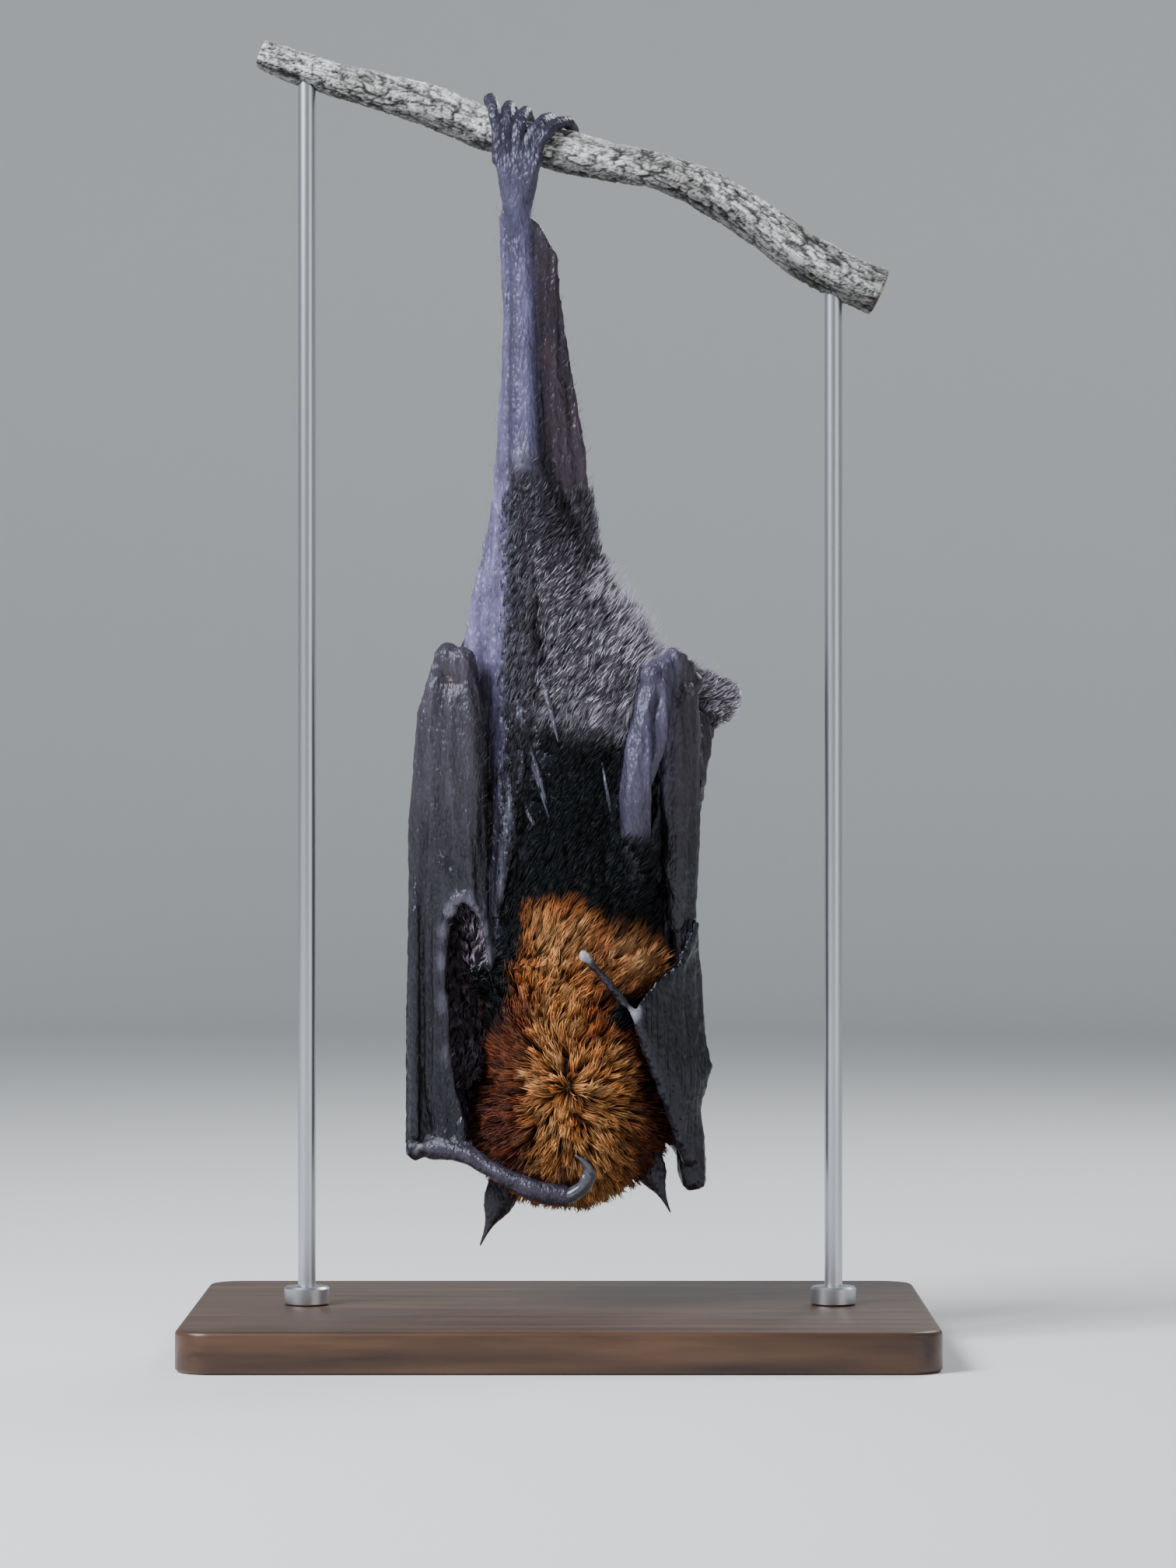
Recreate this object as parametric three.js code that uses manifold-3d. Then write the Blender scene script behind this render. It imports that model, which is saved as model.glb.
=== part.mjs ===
// A large fruit bat at rest under a branch, life size, as a still display model on a plain stand.
// Units are millimetres and +Z is up. The origin is the middle of the stand's underside.
// The bat hangs head down with its back towards -Y and its face towards +Y, so its right side is at -X.
// It holds the branch with its right foot; its left leg is folded across its belly.
// The outer surface of a furred part is where its fur ends.
import * as THREE from "three";
import { mergeVertices } from "three/addons/utils/BufferGeometryUtils.js";
import Module from "manifold-3d";

const wasm = await Module();
wasm.setup();

// ---------- driving dimensions ----------
const GAP = 0.3; // clearance between touching pieces
const WEB = 1.3; // thickness of a wing or tail membrane
const FACET = 0.11; // how far a merged facet may stray

const BASE = { width: 290, depth: 200, height: 16, corner: 14, bevel: 2 };
const ROD = { radius: 3.5, leftX: -100, rightX: 108, bite: 5 };
const COLLAR = { radius: 9, height: 7 };

const PERCH_Y = 2; // the branch passes on the far side of the holding foot
// The branch droops to the right: x, z and radius along it.
const PERCH = [
  [-118, 510, 6.6], [-98, 502.5, 7.3], [-75, 496, 7.4], [-52, 490, 9], [-37, 483.5, 9.6], [-24, 478.5, 9],
  [-6, 473, 8.8], [9, 469.7, 9.2], [25, 466.5, 8.3], [40, 463.5, 8.1], [56, 457, 9], [71, 448.5, 9.4],
  [87, 437, 10.2], [102, 426.5, 10.1], [126, 416, 10.4],
];

const HEAD = { centre: [3.6, -3, 88.8], pitch: 13, roll: 10, eye: 5.6 };
const RIGHT_ARM = { shoulder: [-26.5, -8, 152], wrist: [-55, -9, 81.5] };
const LEFT_ARM = { shoulder: [23, -12, 162], wrist: [52, -6.5, 69.5] };
const RIGHT_LEG = { hip: [3, -3, 281], knee: [-13.6, -11, 347], ankle: [-16.6, -6, 447] };
const LEFT_LEG = { hip: [14, 6, 268], knee: [64, 43, 255], ankle: [6, 41, 209] };
const TOE = 2.35;

const SKIN = { color: 0x2b2930, roughness: 0.55, metalness: 0 };
const FUR = { color: 0x2a2624, roughness: 0.9, metalness: 0 };
const MANTLE = { color: 0xb0651f, roughness: 0.9, metalness: 0 };
const CLAW = { color: 0x3a3a44, roughness: 0.35, metalness: 0 };
const EYE = { color: 0x3a1c0a, roughness: 0.1, metalness: 0 };
const BARK = { color: 0xb9b7a6, roughness: 0.95, metalness: 0 };
const STEEL = { color: 0x9a9ca0, roughness: 0.35, metalness: 1 };
const WOOD = { color: 0x3b2a1f, roughness: 0.5, metalness: 0 };

// ---------- solids ----------
const vec = (p) => new THREE.Vector3(...p);
const mix = (a, b, t) => a.map((v, i) => v + (b[i] - v) * t);

/** A closed BufferGeometry as a manifold-3d solid. */
function solidOf(geometry) {
  const bare = geometry.index ? geometry.toNonIndexed() : geometry.clone();
  bare.deleteAttribute("normal");
  bare.deleteAttribute("uv");
  const merged = mergeVertices(bare, 1e-4);
  const mesh = new wasm.Mesh({
    numProp: 3,
    vertProperties: merged.attributes.position.array,
    triVerts: new Uint32Array(merged.index.array),
  });
  return new wasm.Manifold(mesh);
}

/** A manifold-3d solid as a BufferGeometry. */
function geometryOf(solid) {
  const mesh = solid.getMesh();
  const geometry = new THREE.BufferGeometry();
  const flat = new Float32Array(mesh.numVert * 3);
  for (let i = 0; i < mesh.numVert; i++) {
    flat.set(mesh.vertProperties.subarray(i * mesh.numProp, i * mesh.numProp + 3), i * 3);
  }
  geometry.setAttribute("position", new THREE.BufferAttribute(flat, 3));
  geometry.setIndex(new THREE.BufferAttribute(mesh.triVerts, 1));
  geometry.computeVertexNormals();
  return geometry;
}

/** The largest of a solid's separate bodies, with needless facets merged: a cut can leave crumbs. */
function largest(solid) {
  const bodies = solid.simplify(FACET).decompose();
  return bodies.reduce((best, body) => (body.volume() > best.volume() ? body : best));
}

/** A solid less each of the others, as one body. */
function carve(solid, ...others) {
  return largest(others.reduce((left, other) => left.subtract(other), solid));
}

function union(...solids) {
  return solids.reduce((all, one) => all.add(one));
}

/** Interpolates a profile of [t, a, b] rows smoothly, and returns [a, b] at t. */
function sizeAt(profile, t) {
  let i = 0;
  while (i < profile.length - 2 && t > profile[i + 1][0]) i++;
  const [t0, a0, b0] = profile[i];
  const [t1, a1, b1] = profile[i + 1];
  const s = Math.min(1, Math.max(0, (t - t0) / (t1 - t0)));
  const k = s * s * (3 - 2 * s) * 0.5 + s * 0.5;
  return [a0 + (a1 - a0) * k, b0 + (b1 - b0) * k];
}

/**
 * A closed tapering tube of elliptical section along a smooth path.
 * path: points; profile: rows of [t, a, b], half sizes along `across` and square to it;
 * round: how far each end is domed; grow: added all over, for cutting clearances.
 */
function limb(path, profile, { across = [1, 0, 0], sides = 10, steps = 8, round = [3, 3], grow = 0 } = {}) {
  const curve = new THREE.CatmullRomCurve3(path.map(vec), false, "centripetal");
  const reference = vec(across);
  const rings = [];
  const ring = (centre, tangent, a, b) => {
    const side = reference.clone().addScaledVector(tangent, -reference.dot(tangent)).normalize();
    const up = new THREE.Vector3().crossVectors(tangent, side);
    const points = [];
    for (let k = 0; k < sides; k++) {
      const angle = (k / sides) * 2 * Math.PI;
      const point = centre.clone().addScaledVector(side, (a + grow) * Math.cos(angle));
      points.push(point.addScaledVector(up, (b + grow) * Math.sin(angle)));
    }
    rings.push(points);
  };
  const start = curve.getPoint(0);
  const end = curve.getPoint(1);
  const startTangent = curve.getTangent(0);
  const endTangent = curve.getTangent(1);
  const dome = sides > 8 ? [0.85, 0.5] : [0.6];
  const [startReach, endReach] = round.map((reach) => reach + grow);
  const [a0, b0] = sizeAt(profile, 0);
  const [a1, b1] = sizeAt(profile, 1);
  for (const d of dome) {
    const s = Math.sqrt(1 - d * d);
    ring(start.clone().addScaledVector(startTangent, -startReach * d), startTangent, a0 * s, b0 * s);
  }
  for (let i = 0; i <= steps; i++) {
    const t = i / steps;
    const [a, b] = sizeAt(profile, t);
    ring(curve.getPointAt(t), curve.getTangentAt(t), a, b);
  }
  for (const d of [...dome].reverse()) {
    const s = Math.sqrt(1 - d * d);
    ring(end.clone().addScaledVector(endTangent, endReach * d), endTangent, a1 * s, b1 * s);
  }
  const tips = [
    start.clone().addScaledVector(startTangent, -startReach),
    end.clone().addScaledVector(endTangent, endReach),
  ];
  const positions = [...rings.flat(), ...tips].flatMap((p) => p.toArray());
  const index = [];
  const last = rings.length - 1;
  const at = (r, k) => r * sides + (k % sides);
  for (let r = 0; r < last; r++) {
    for (let k = 0; k < sides; k++) {
      index.push(at(r, k), at(r, k + 1), at(r + 1, k + 1), at(r, k), at(r + 1, k + 1), at(r + 1, k));
    }
  }
  for (let k = 0; k < sides; k++) {
    index.push(rings.length * sides, at(0, k + 1), at(0, k));
    index.push(rings.length * sides + 1, at(last, k), at(last, k + 1));
  }
  return closed(positions, index);
}

/** A solid from positions and triangles. */
function closed(positions, index) {
  const geometry = new THREE.BufferGeometry();
  geometry.setAttribute("position", new THREE.Float32BufferAttribute(positions, 3));
  geometry.setIndex(index);
  return solidOf(geometry);
}

/**
 * A membrane between two edges, as a closed solid. Each edge is a list of points along it.
 * bulge: how far its middle bows along `face`; pleats and pleat: number and depth of its folds;
 * grow: added all over, for cutting clearances.
 */
function web(edgeA, edgeB, options = {}) {
  const { thick = WEB, face = [0, -1, 0], bulge = 0, pleats = 0, pleat = 0 } = options;
  const { steps = 12, across = 4, grow = 0 } = options;
  const curveA = new THREE.CatmullRomCurve3(edgeA.map(vec), false, "centripetal");
  const curveB = new THREE.CatmullRomCurve3(edgeB.map(vec), false, "centripetal");
  const bow = vec(face).normalize();
  const grid = [];
  for (let i = 0; i <= steps; i++) {
    const a = curveA.getPointAt(i / steps);
    const b = curveB.getPointAt(i / steps);
    const row = [];
    for (let j = 0; j <= across; j++) {
      const v = j / across;
      const fold = pleats ? pleat * Math.sin(2 * Math.PI * pleats * v) * Math.sin(Math.PI * (i / steps)) : 0;
      row.push(a.clone().lerp(b, v).addScaledVector(bow, bulge * Math.sin(Math.PI * v) + fold));
    }
    grid.push(row);
  }
  const push = (point, from) => point.addScaledVector(point.clone().sub(from).normalize(), grow);
  for (const row of grid) {
    push(row[0], row[1]);
    push(row[across], row[across - 1]);
  }
  for (let j = 0; j <= across; j++) {
    push(grid[0][j], grid[1][j]);
    push(grid[steps][j], grid[steps - 1][j]);
  }
  const clampRow = (i) => Math.min(steps, Math.max(0, i));
  const clampCol = (j) => Math.min(across, Math.max(0, j));
  const faces = [[], []];
  for (let i = 0; i <= steps; i++) {
    for (let j = 0; j <= across; j++) {
      const along = grid[clampRow(i + 1)][j].clone().sub(grid[clampRow(i - 1)][j]);
      const over = grid[i][clampCol(j + 1)].clone().sub(grid[i][clampCol(j - 1)]);
      const normal = along.cross(over).normalize();
      faces[0].push(grid[i][j].clone().addScaledVector(normal, thick / 2 + grow));
      faces[1].push(grid[i][j].clone().addScaledVector(normal, -thick / 2 - grow));
    }
  }
  const positions = [...faces[0], ...faces[1]].flatMap((p) => p.toArray());
  const wide = across + 1;
  const under = faces[0].length;
  const index = [];
  const quad = (a, b, c, d) => index.push(a, b, c, a, c, d);
  for (let i = 0; i < steps; i++) {
    for (let j = 0; j < across; j++) {
      const p = i * wide + j;
      quad(p, p + wide, p + wide + 1, p + 1);
      quad(under + p, under + p + 1, under + p + wide + 1, under + p + wide);
    }
    const p = i * wide;
    quad(p + wide, p, under + p, under + p + wide);
    quad(p + across, p + wide + across, under + p + wide + across, under + p + across);
  }
  for (let j = 0; j < across; j++) {
    const p = steps * wide + j;
    quad(j, j + 1, under + j + 1, under + j);
    quad(p + 1, p, under + p, under + p + 1);
  }
  return closed(positions, index);
}

function ball(centre, radius, sides = 12) {
  const sphere = new THREE.SphereGeometry(radius, sides, Math.max(6, sides / 2));
  return solidOf(sphere.translate(...centre));
}

function block(low, high) {
  const size = high.map((v, i) => v - low[i]);
  return solidOf(new THREE.BoxGeometry(...size).translate(...mix(low, high, 0.5)));
}

const part = new THREE.Group();
part.name = "fruit_bat";

function show(name, solid, look) {
  const mesh = new THREE.Mesh(geometryOf(solid), new THREE.MeshStandardMaterial(look));
  mesh.name = name;
  part.add(mesh);
}

// ---------- the stand and the branch ----------
function branch(grow = 0) {
  const path = PERCH.map(([x, z, r], i) => [x, PERCH_Y + 0.8 * Math.sin(i * 1.9), z]);
  const profile = PERCH.map(([x, z, r], i) => [i / (PERCH.length - 1), r, r * 0.95]);
  return limb(path, profile, { across: [0, 1, 0], sides: 10, steps: 16, round: [1, 1], grow });
}

/** The height of the branch's middle above the base's underside, at x. */
function branchHeight(x) {
  const i = Math.max(1, PERCH.findIndex((station) => station[0] >= x));
  const [x0, z0] = PERCH[i - 1];
  const [x1, z1] = PERCH[i];
  return z0 + ((z1 - z0) * (x - x0)) / (x1 - x0);
}

/** The radius of the branch at x. */
function branchRadius(x) {
  const i = Math.max(1, PERCH.findIndex((station) => station[0] >= x));
  const [x0, , r0] = PERCH[i - 1];
  const [x1, , r1] = PERCH[i];
  return r0 + ((r1 - r0) * (x - x0)) / (x1 - x0);
}

function rod(x, radius, low) {
  const top = branchHeight(x) - branchRadius(x) + ROD.bite;
  const cylinder = new THREE.CylinderGeometry(radius, radius, top - low, 14).rotateX(Math.PI / 2);
  return solidOf(cylinder.translate(x, PERCH_Y, (top + low) / 2));
}

function buildStand() {
  const { width, depth, height, corner, bevel } = BASE;
  const outline = new THREE.Shape();
  const [w, d] = [width / 2 - bevel, depth / 2 - bevel];
  outline.moveTo(-w + corner, -d);
  outline.lineTo(w - corner, -d).absarc(w - corner, -d + corner, corner, -Math.PI / 2, 0);
  outline.lineTo(w, d - corner).absarc(w - corner, d - corner, corner, 0, Math.PI / 2);
  outline.lineTo(-w + corner, d).absarc(-w + corner, d - corner, corner, Math.PI / 2, Math.PI);
  outline.lineTo(-w, -d + corner).absarc(-w + corner, -d + corner, corner, Math.PI, 1.5 * Math.PI);
  const plate = new THREE.ExtrudeGeometry(outline, {
    depth: height - 2 * bevel, bevelThickness: bevel, bevelSize: bevel, bevelSegments: 1, curveSegments: 3,
  });
  show("stand_base", solidOf(plate.translate(0, 0, bevel)), WOOD);

  let wood = branch();
  for (const [side, x] of [["left", ROD.leftX], ["right", ROD.rightX]]) {
    const low = height + GAP;
    show(`stand_rod_${side}`, rod(x, ROD.radius, low), STEEL);
    wood = wood.subtract(rod(x, ROD.radius + GAP, low).translate(0, 0, GAP));
    const { radius, height: tall } = COLLAR;
    const inner = ROD.radius + GAP;
    const section = [
      [inner, 0], [radius, 0], [radius, tall * 0.35], [inner + 2, tall], [inner, tall], [inner, 0],
    ].map(([r, z]) => new THREE.Vector2(r, z));
    const ring = new THREE.LatheGeometry(section, 14).rotateX(Math.PI / 2);
    show(`stand_collar_${side}`, solidOf(ring.translate(x, PERCH_Y, low)), STEEL);
  }
  show("perch_branch", largest(wood), BARK);
}

// ---------- trunk and head ----------
const TORSO_PATH = [
  [8, -1, 300], [12, 0, 270], [10.4, 0, 250], [6.8, 0, 225], [4.8, 0, 195], [4.6, -1, 165],
  [5, -2, 140], [4.5, -4, 118],
  [4, -5, 98],
];
const TORSO_SIZES = [
  [0, 12, 11], [0.075, 22, 17], [0.15, 30, 23], [0.25, 33.4, 28], [0.375, 33.6, 31], [0.525, 34, 34],
  [0.675, 34, 35], [0.8, 33, 33.5], [0.91, 31.5, 31.5], [1, 29, 29],
];
const TORSO_CUTS = [252, 202, 152]; // heights of the seams between rump, belly, chest and neck

const torso = (grow) => limb(TORSO_PATH, TORSO_SIZES, { sides: 18, steps: 12, round: [6, 4], grow });

/** The head's own directions: forward along the muzzle, to the bat's right, and up to its crown. */
function headAxes() {
  const pitch = THREE.MathUtils.degToRad(HEAD.pitch);
  const roll = THREE.MathUtils.degToRad(HEAD.roll);
  const forward = new THREE.Vector3(0, Math.cos(pitch), -Math.sin(pitch));
  const crown = new THREE.Vector3(0, -Math.sin(pitch), -Math.cos(pitch));
  const right = new THREE.Vector3(-1, 0, 0);
  return {
    forward,
    right: right.clone().multiplyScalar(Math.cos(roll)).addScaledVector(crown, Math.sin(roll)),
    up: crown.clone().multiplyScalar(Math.cos(roll)).addScaledVector(right, -Math.sin(roll)),
  };
}

/** A point given ahead of, right of and above the middle of the skull. */
function inHead(ahead, right, above) {
  const axes = headAxes();
  const point = vec(HEAD.centre).addScaledVector(axes.forward, ahead);
  return point.addScaledVector(axes.right, right).addScaledVector(axes.up, above).toArray();
}

const HEAD_LINE = [[-20, 0], [-6, 0], [8, -1], [20, -3], [30, -5.5], [40, -7], [50, -8], [56, -8.5]];
const HEAD_SIZES = [
  [0, 27, 25], [0.19, 36.5, 33.5], [0.37, 35.5, 32], [0.53, 27, 25], [0.66, 18.5, 18.5], [0.79, 12.6, 13],
  [0.92, 9.6, 9.6], [1, 8, 7.8],
];

function head(grow) {
  const path = HEAD_LINE.map(([ahead, above]) => inHead(ahead, 0, above));
  const across = headAxes().right.toArray();
  return limb(path, HEAD_SIZES, { across, sides: 16, steps: 10, round: [11, 3], grow });
}

const eye = (side, grow) => ball(inHead(25.5, side * 15.8, 2.5), HEAD.eye + grow, 10);
const noseTip = (grow) =>
  limb([inHead(57, 0, -7.5), inHead(61.5, 0, -7.5)], [[0, 4.6, 3.4], [1, 4.2, 2.8]], {
    across: headAxes().right.toArray(), sides: 8, steps: 1, round: [1, 1.2], grow,
  });

/** An ear: a pointed blade rolled round its own length, with its hollow side to the front. */
function ear(base, tip, width, hollow) {
  const middle = mix(base, tip, 0.5);
  const rim = (sign) => {
    const half = [0.9, 1, 0.86, 0.55, 0.06].map((share) => (share * width) / 2);
    return half.map((w, i) => {
      const [x, y, z] = mix(base, tip, i / (half.length - 1));
      return [x + sign * w * hollow[0], y + sign * w * hollow[1], z + sign * w * hollow[2]];
    });
  };
  const facing = vec(tip).sub(vec(middle)).cross(vec(hollow)).normalize();
  if (facing.y > 0) facing.negate();
  const bulge = width * 0.26;
  return web(rim(1), rim(-1), { thick: 1.3, face: facing.toArray(), bulge, steps: 7, across: 4 });
}

/** A thumb from the wrist to the root of its claw. */
const THUMB = [[0, 4.6, 4.6], [0.25, 3.7, 3.7], [0.45, 3.1, 3.2], [0.75, 4.2, 3.6], [1, 4.2, 3.8]];
const HOOK = [[0, 3.5, 2.6], [0.3, 3.2, 2.3], [0.65, 2.3, 1.6], [1, 0.6, 0.5]];
const RIGHT_THUMB = [
  [-51, -13, 79], [-38, -18.5, 77.6], [-27.4, -23, 71.8], [-17.2, -26.5, 66.4], [-6, -28.2, 62.4],
  [3, -28, 61.2],
];
const RIGHT_HOOK = [
  [5.2, -28.4, 62], [9.4, -29.6, 65.2], [11.2, -31, 70], [9.8, -32.4, 74.6], [6, -33.4, 77.6],
];
const LEFT_THUMB = [[52.4, -2, 69], [52.6, 8, 67.6], [52, 18, 69.4], [50, 28, 74], [46.4, 35, 80.6]];
const LEFT_HOOK = [[45.4, 36.4, 82.2], [42, 40.4, 86.8], [38.8, 41.4, 92], [37.6, 39.4, 97.4]];
const thumb = (path, grow) =>
  limb(path, THUMB, { across: [0, 0, 1], sides: 8, steps: 7, round: [2, 1.5], grow });
const hook = (path, grow) =>
  limb(path, HOOK, { across: [0, 0, 1], sides: 8, steps: 5, round: [0.5, 0.5], grow });

function buildBody() {
  const eyes = union(eye(1, GAP), eye(-1, GAP));
  const hooked = union(thumb(RIGHT_THUMB, GAP), hook(RIGHT_HOOK, GAP));
  show("head", carve(head(0), eyes, noseTip(GAP), hooked), MANTLE);
  show("nose", noseTip(0), SKIN);
  show("eye_right", eye(1, 0), EYE);
  show("eye_left", eye(-1, 0), EYE);
  const rightEar = ear([-17.5, 0, 73], [-30.3, -5, 42.8], 15, [0.87, 0.35, -0.34]);
  const leftEar = ear([29.5, 0, 83], [42.4, -5, 55.6], 15, [-0.87, 0.35, -0.3]);
  show("ear_right", carve(rightEar, head(GAP)), SKIN);
  show("ear_left", carve(leftEar, head(GAP)), SKIN);

  const names = ["rump", "belly", "chest", "neck"];
  const bounds = [320, ...TORSO_CUTS, 60];
  names.forEach((name, i) => {
    const [top, bottom] = [bounds[i] - GAP / 2, bounds[i + 1] + GAP / 2];
    const slice = torso(0).intersect(block([-60, -60, bottom], [80, 60, top]));
    show(name, carve(slice, head(GAP)), name === "neck" ? MANTLE : FUR);
  });
}

// ---------- legs ----------
const { hip: HIP_R, knee: KNEE_R, ankle: ANKLE_R } = RIGHT_LEG;
const { hip: HIP_L, knee: KNEE_L, ankle: ANKLE_L } = LEFT_LEG;

const THIGH_R = [[0, 17, 14], [0.3, 14, 12], [0.7, 9.5, 9], [1, 6.8, 7.2]];
const THIGH_L = [[0, 17, 16], [0.35, 13.5, 13], [0.75, 9.5, 9.5], [1, 8.8, 8.8]];
const SHANK_L = [[0, 6.8, 6.8], [0.3, 5.4, 5.4], [0.8, 4.6, 4.4], [1, 4.8, 4.3]];
const rightThigh = (grow) =>
  limb([HIP_R, [-1, -5, 302], [-8, -8, 325], KNEE_R], THIGH_R, {
    sides: 12, steps: 5, round: [4, 4], grow,
  });
const rightShank = (grow) =>
  limb([KNEE_R, [-14.4, -9, 384], [-14.6, -8, 412], ANKLE_R],
    [[0, 6.2, 6.8], [0.15, 6, 6.2], [0.4, 5.4, 5.6], [0.8, 4.6, 4.8], [1, 5.1, 4.6]],
    { sides: 10, steps: 6, round: [2, 2], grow });
const leftThigh = (grow) =>
  limb([HIP_L, [32, 19, 265], [48, 32, 260], KNEE_L], THIGH_L, {
    across: [0, 0, 1], sides: 12, steps: 5, round: [4, 6], grow,
  });
const leftShank = (grow) =>
  limb([KNEE_L, [50, 46, 243], [28, 45, 226], ANKLE_L], SHANK_L, {
    across: [0, 0, 1], sides: 8, steps: 6, round: [2, 2], grow,
  });

/** The holding foot's sole and heel, from the ankle to the roots of its toes. */
const rightSole = (grow) =>
  limb([ANKLE_R, [-16.6, -8.4, 456], [-16.4, -9.6, 467]], [[0, 5.1, 4.4], [0.5, 7.6, 4], [1, 9.4, 3.2]], {
    sides: 10, steps: 3, round: [2, 2.5], grow,
  });
const leftSole = (grow) =>
  limb([ANKLE_L, [-1, 38.6, 205], [-8, 36, 200]], [[0, 4.8, 4.2], [0.5, 6.6, 3.8], [1, 8, 3]], {
    across: [0.45, 0, -0.9], sides: 8, steps: 3, round: [2, 2], grow,
  });

// Each holding toe: x at its root, x where it tops the branch, and x of its claw.
const RIGHT_TOES = [
  [-24.6, -27.6, -26.5], [-21, -19.8, -19], [-16.6, -13.2, -10.5], [-12, -3.4, -0.6], [-8.6, 4, 8],
];
const TOE_ROOT_Z = 466;

/** A toe that comes up the near side of the branch, goes over it and down behind, with its claw. */
function holdingToe([rootX, topX, clawX], grow) {
  const over = branchRadius(topX) + TOE + 0.5;
  const path = [[rootX, -9.8, TOE_ROOT_Z]];
  for (const turn of [-5, 28, 62, 96, 130, 158, 182]) {
    const share = Math.min(1, (turn + 5) / 100);
    const x = turn < 96 ? rootX + (topX - rootX) * share : topX + ((clawX - topX) * (turn - 96)) / 86;
    const angle = THREE.MathUtils.degToRad(turn);
    const reach = over - (turn > 130 ? 0.9 * ((turn - 130) / 52) : 0);
    path.push([x, PERCH_Y - reach * Math.cos(angle), branchHeight(x) + reach * Math.sin(angle)]);
  }
  const sizes = [
    [0, TOE, TOE], [0.3, TOE * 0.92, TOE], [0.42, TOE * 1.12, TOE * 1.1], [0.6, TOE * 0.9, TOE * 0.95],
    [0.74, TOE * 0.95, TOE], [0.8, TOE * 0.62, TOE * 0.8], [1, 0.5, 0.6],
  ];
  return limb(path, sizes, { sides: 6, steps: 11, round: [1.5, 0.6], grow });
}

/** A toe of the folded foot, curled on the belly fur, with its claw. */
function foldedToe(i, grow) {
  const shift = (i - 2) * 3.7;
  const [dx, dz] = [shift * 0.45, -shift * 0.9];
  const path = [
    [-6.5 + dx, 36.4, 200.8 + dz], [-12.5 + dx, 35.8, 197.6 + dz], [-18.5 + dx, 33.2, 195 + dz],
    [-22 + dx, 28.4, 193.4 + dz], [-21.2 + dx, 24.4, 192.4 + dz],
  ];
  const sizes = [[0, 2, 2], [0.45, 2.1, 2.2], [0.7, 1.8, 1.9], [0.78, 1.2, 1.6], [1, 0.45, 0.5]];
  return limb(path, sizes, { across: [0.45, 0, -0.9], sides: 6, steps: 6, round: [1, 0.5], grow });
}

const rightCalcar = (grow) =>
  limb([[-11.4, -6.4, 443], [-6, -5.6, 435.6], [-1.2, -5, 427.4]], [[0, 1.5, 1.5], [1, 0.9, 0.9]], {
    across: [0, 0, 1], sides: 6, steps: 2, round: [0.8, 0.8], grow,
  });

/** The web between the holding leg and the rump, which the calcar spreads below the ankle. */
function tailWeb() {
  const leg = [
    [-14, -5.5, 444], [-13, -6.5, 428], [-12, -7, 405], [-11, -8, 375], [-9, -9, 348], [-3, -8, 325],
    [5, -7, 302],
  ];
  const free = [
    [-9.6, -5.8, 442], [-5.4, -5.2, 434.6], [-1, -4.8, 426.8], [0.4, -4.6, 412], [5.4, -4.6, 378],
    [9.8, -4.4, 345],
    [13.8, -3.8, 318], [17.4, -2.6, 298],
  ];
  return web(leg, free, { steps: 8, across: 2, bulge: 0.8 });
}

function buildLegs() {
  const [body, thighR, shankR, soleR] = [torso(GAP), rightThigh(GAP), rightShank(GAP), rightSole(GAP)];
  const [thighL, shankL, soleL] = [leftThigh(GAP), leftShank(GAP), leftSole(GAP)];
  const wood = branch(GAP);
  show("right_thigh", carve(rightThigh(0), body), FUR);
  show("right_shank", carve(rightShank(0), thighR), SKIN);
  show("right_foot", carve(rightSole(0), shankR, wood), SKIN);
  show("left_thigh", carve(leftThigh(0), body, thighR), FUR);
  show("left_shank", carve(leftShank(0), thighL, body), FUR);
  show("left_foot", carve(leftSole(0), shankL, body), SKIN);

  const earlier = [];
  RIGHT_TOES.forEach((toe, i) => {
    show(`right_toe_${i + 1}`, carve(holdingToe(toe, 0), wood, soleR, ...earlier), SKIN);
    earlier.push(holdingToe(toe, GAP));
  });
  const folded = [];
  for (let i = 0; i < 5; i++) {
    show(`left_toe_${i + 1}`, carve(foldedToe(i, 0), body, soleL, shankL, ...folded), SKIN);
    folded.push(foldedToe(i, GAP));
  }
  show("right_calcar", carve(rightCalcar(0), shankR), SKIN);
  show("tail_web", carve(tailWeb(), body, thighR, shankR, soleR, rightCalcar(GAP)), SKIN);
}

// ---------- wings ----------
/** Upper arm sizes, elbow first, and forearm sizes, elbow first: [t, half width, half depth]. */
const UPPER_ARM = [[0, 6, 6], [0.12, 7.6, 7], [0.5, 6.8, 7], [0.8, 6.8, 7.5], [1, 8, 8.5]];
const FOREARM = [
  [0, 5.4, 6.4], [0.1, 7.4, 7.4], [0.32, 6.2, 6.8], [0.6, 5, 5.4], [0.9, 4.7, 4.8], [0.97, 5.4, 5.2],
  [1, 5.2, 5],
];

const ARM = { sides: 10, steps: 6, round: [5, 4] };
const FORE = { sides: 10, steps: 8, round: [5, 5] };
const RIGHT_UPPER = [
  [-39, -16, 269], [-36, -17.5, 240], [-35.2, -17.5, 208], [-32.6, -14, 182], RIGHT_ARM.shoulder,
];
const RIGHT_FORE = [
  [-44, -14.5, 270.5], [-49.5, -11.5, 240], [-52.4, -9.5, 205], [-54, -8.5, 165], [-55.2, -8.5, 125],
  RIGHT_ARM.wrist,
];
const LEFT_UPPER = [
  [40, -22, 266], [34, -26.5, 241], [30.4, -28.4, 216], [29.8, -26.6, 197], LEFT_ARM.shoulder,
];
const LEFT_FORE = [
  [47.5, -15.5, 267], [47.8, -12.5, 228], [48.2, -10, 190], [48.4, -8, 150], [49.6, -7, 110],
  LEFT_ARM.wrist,
];

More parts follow.
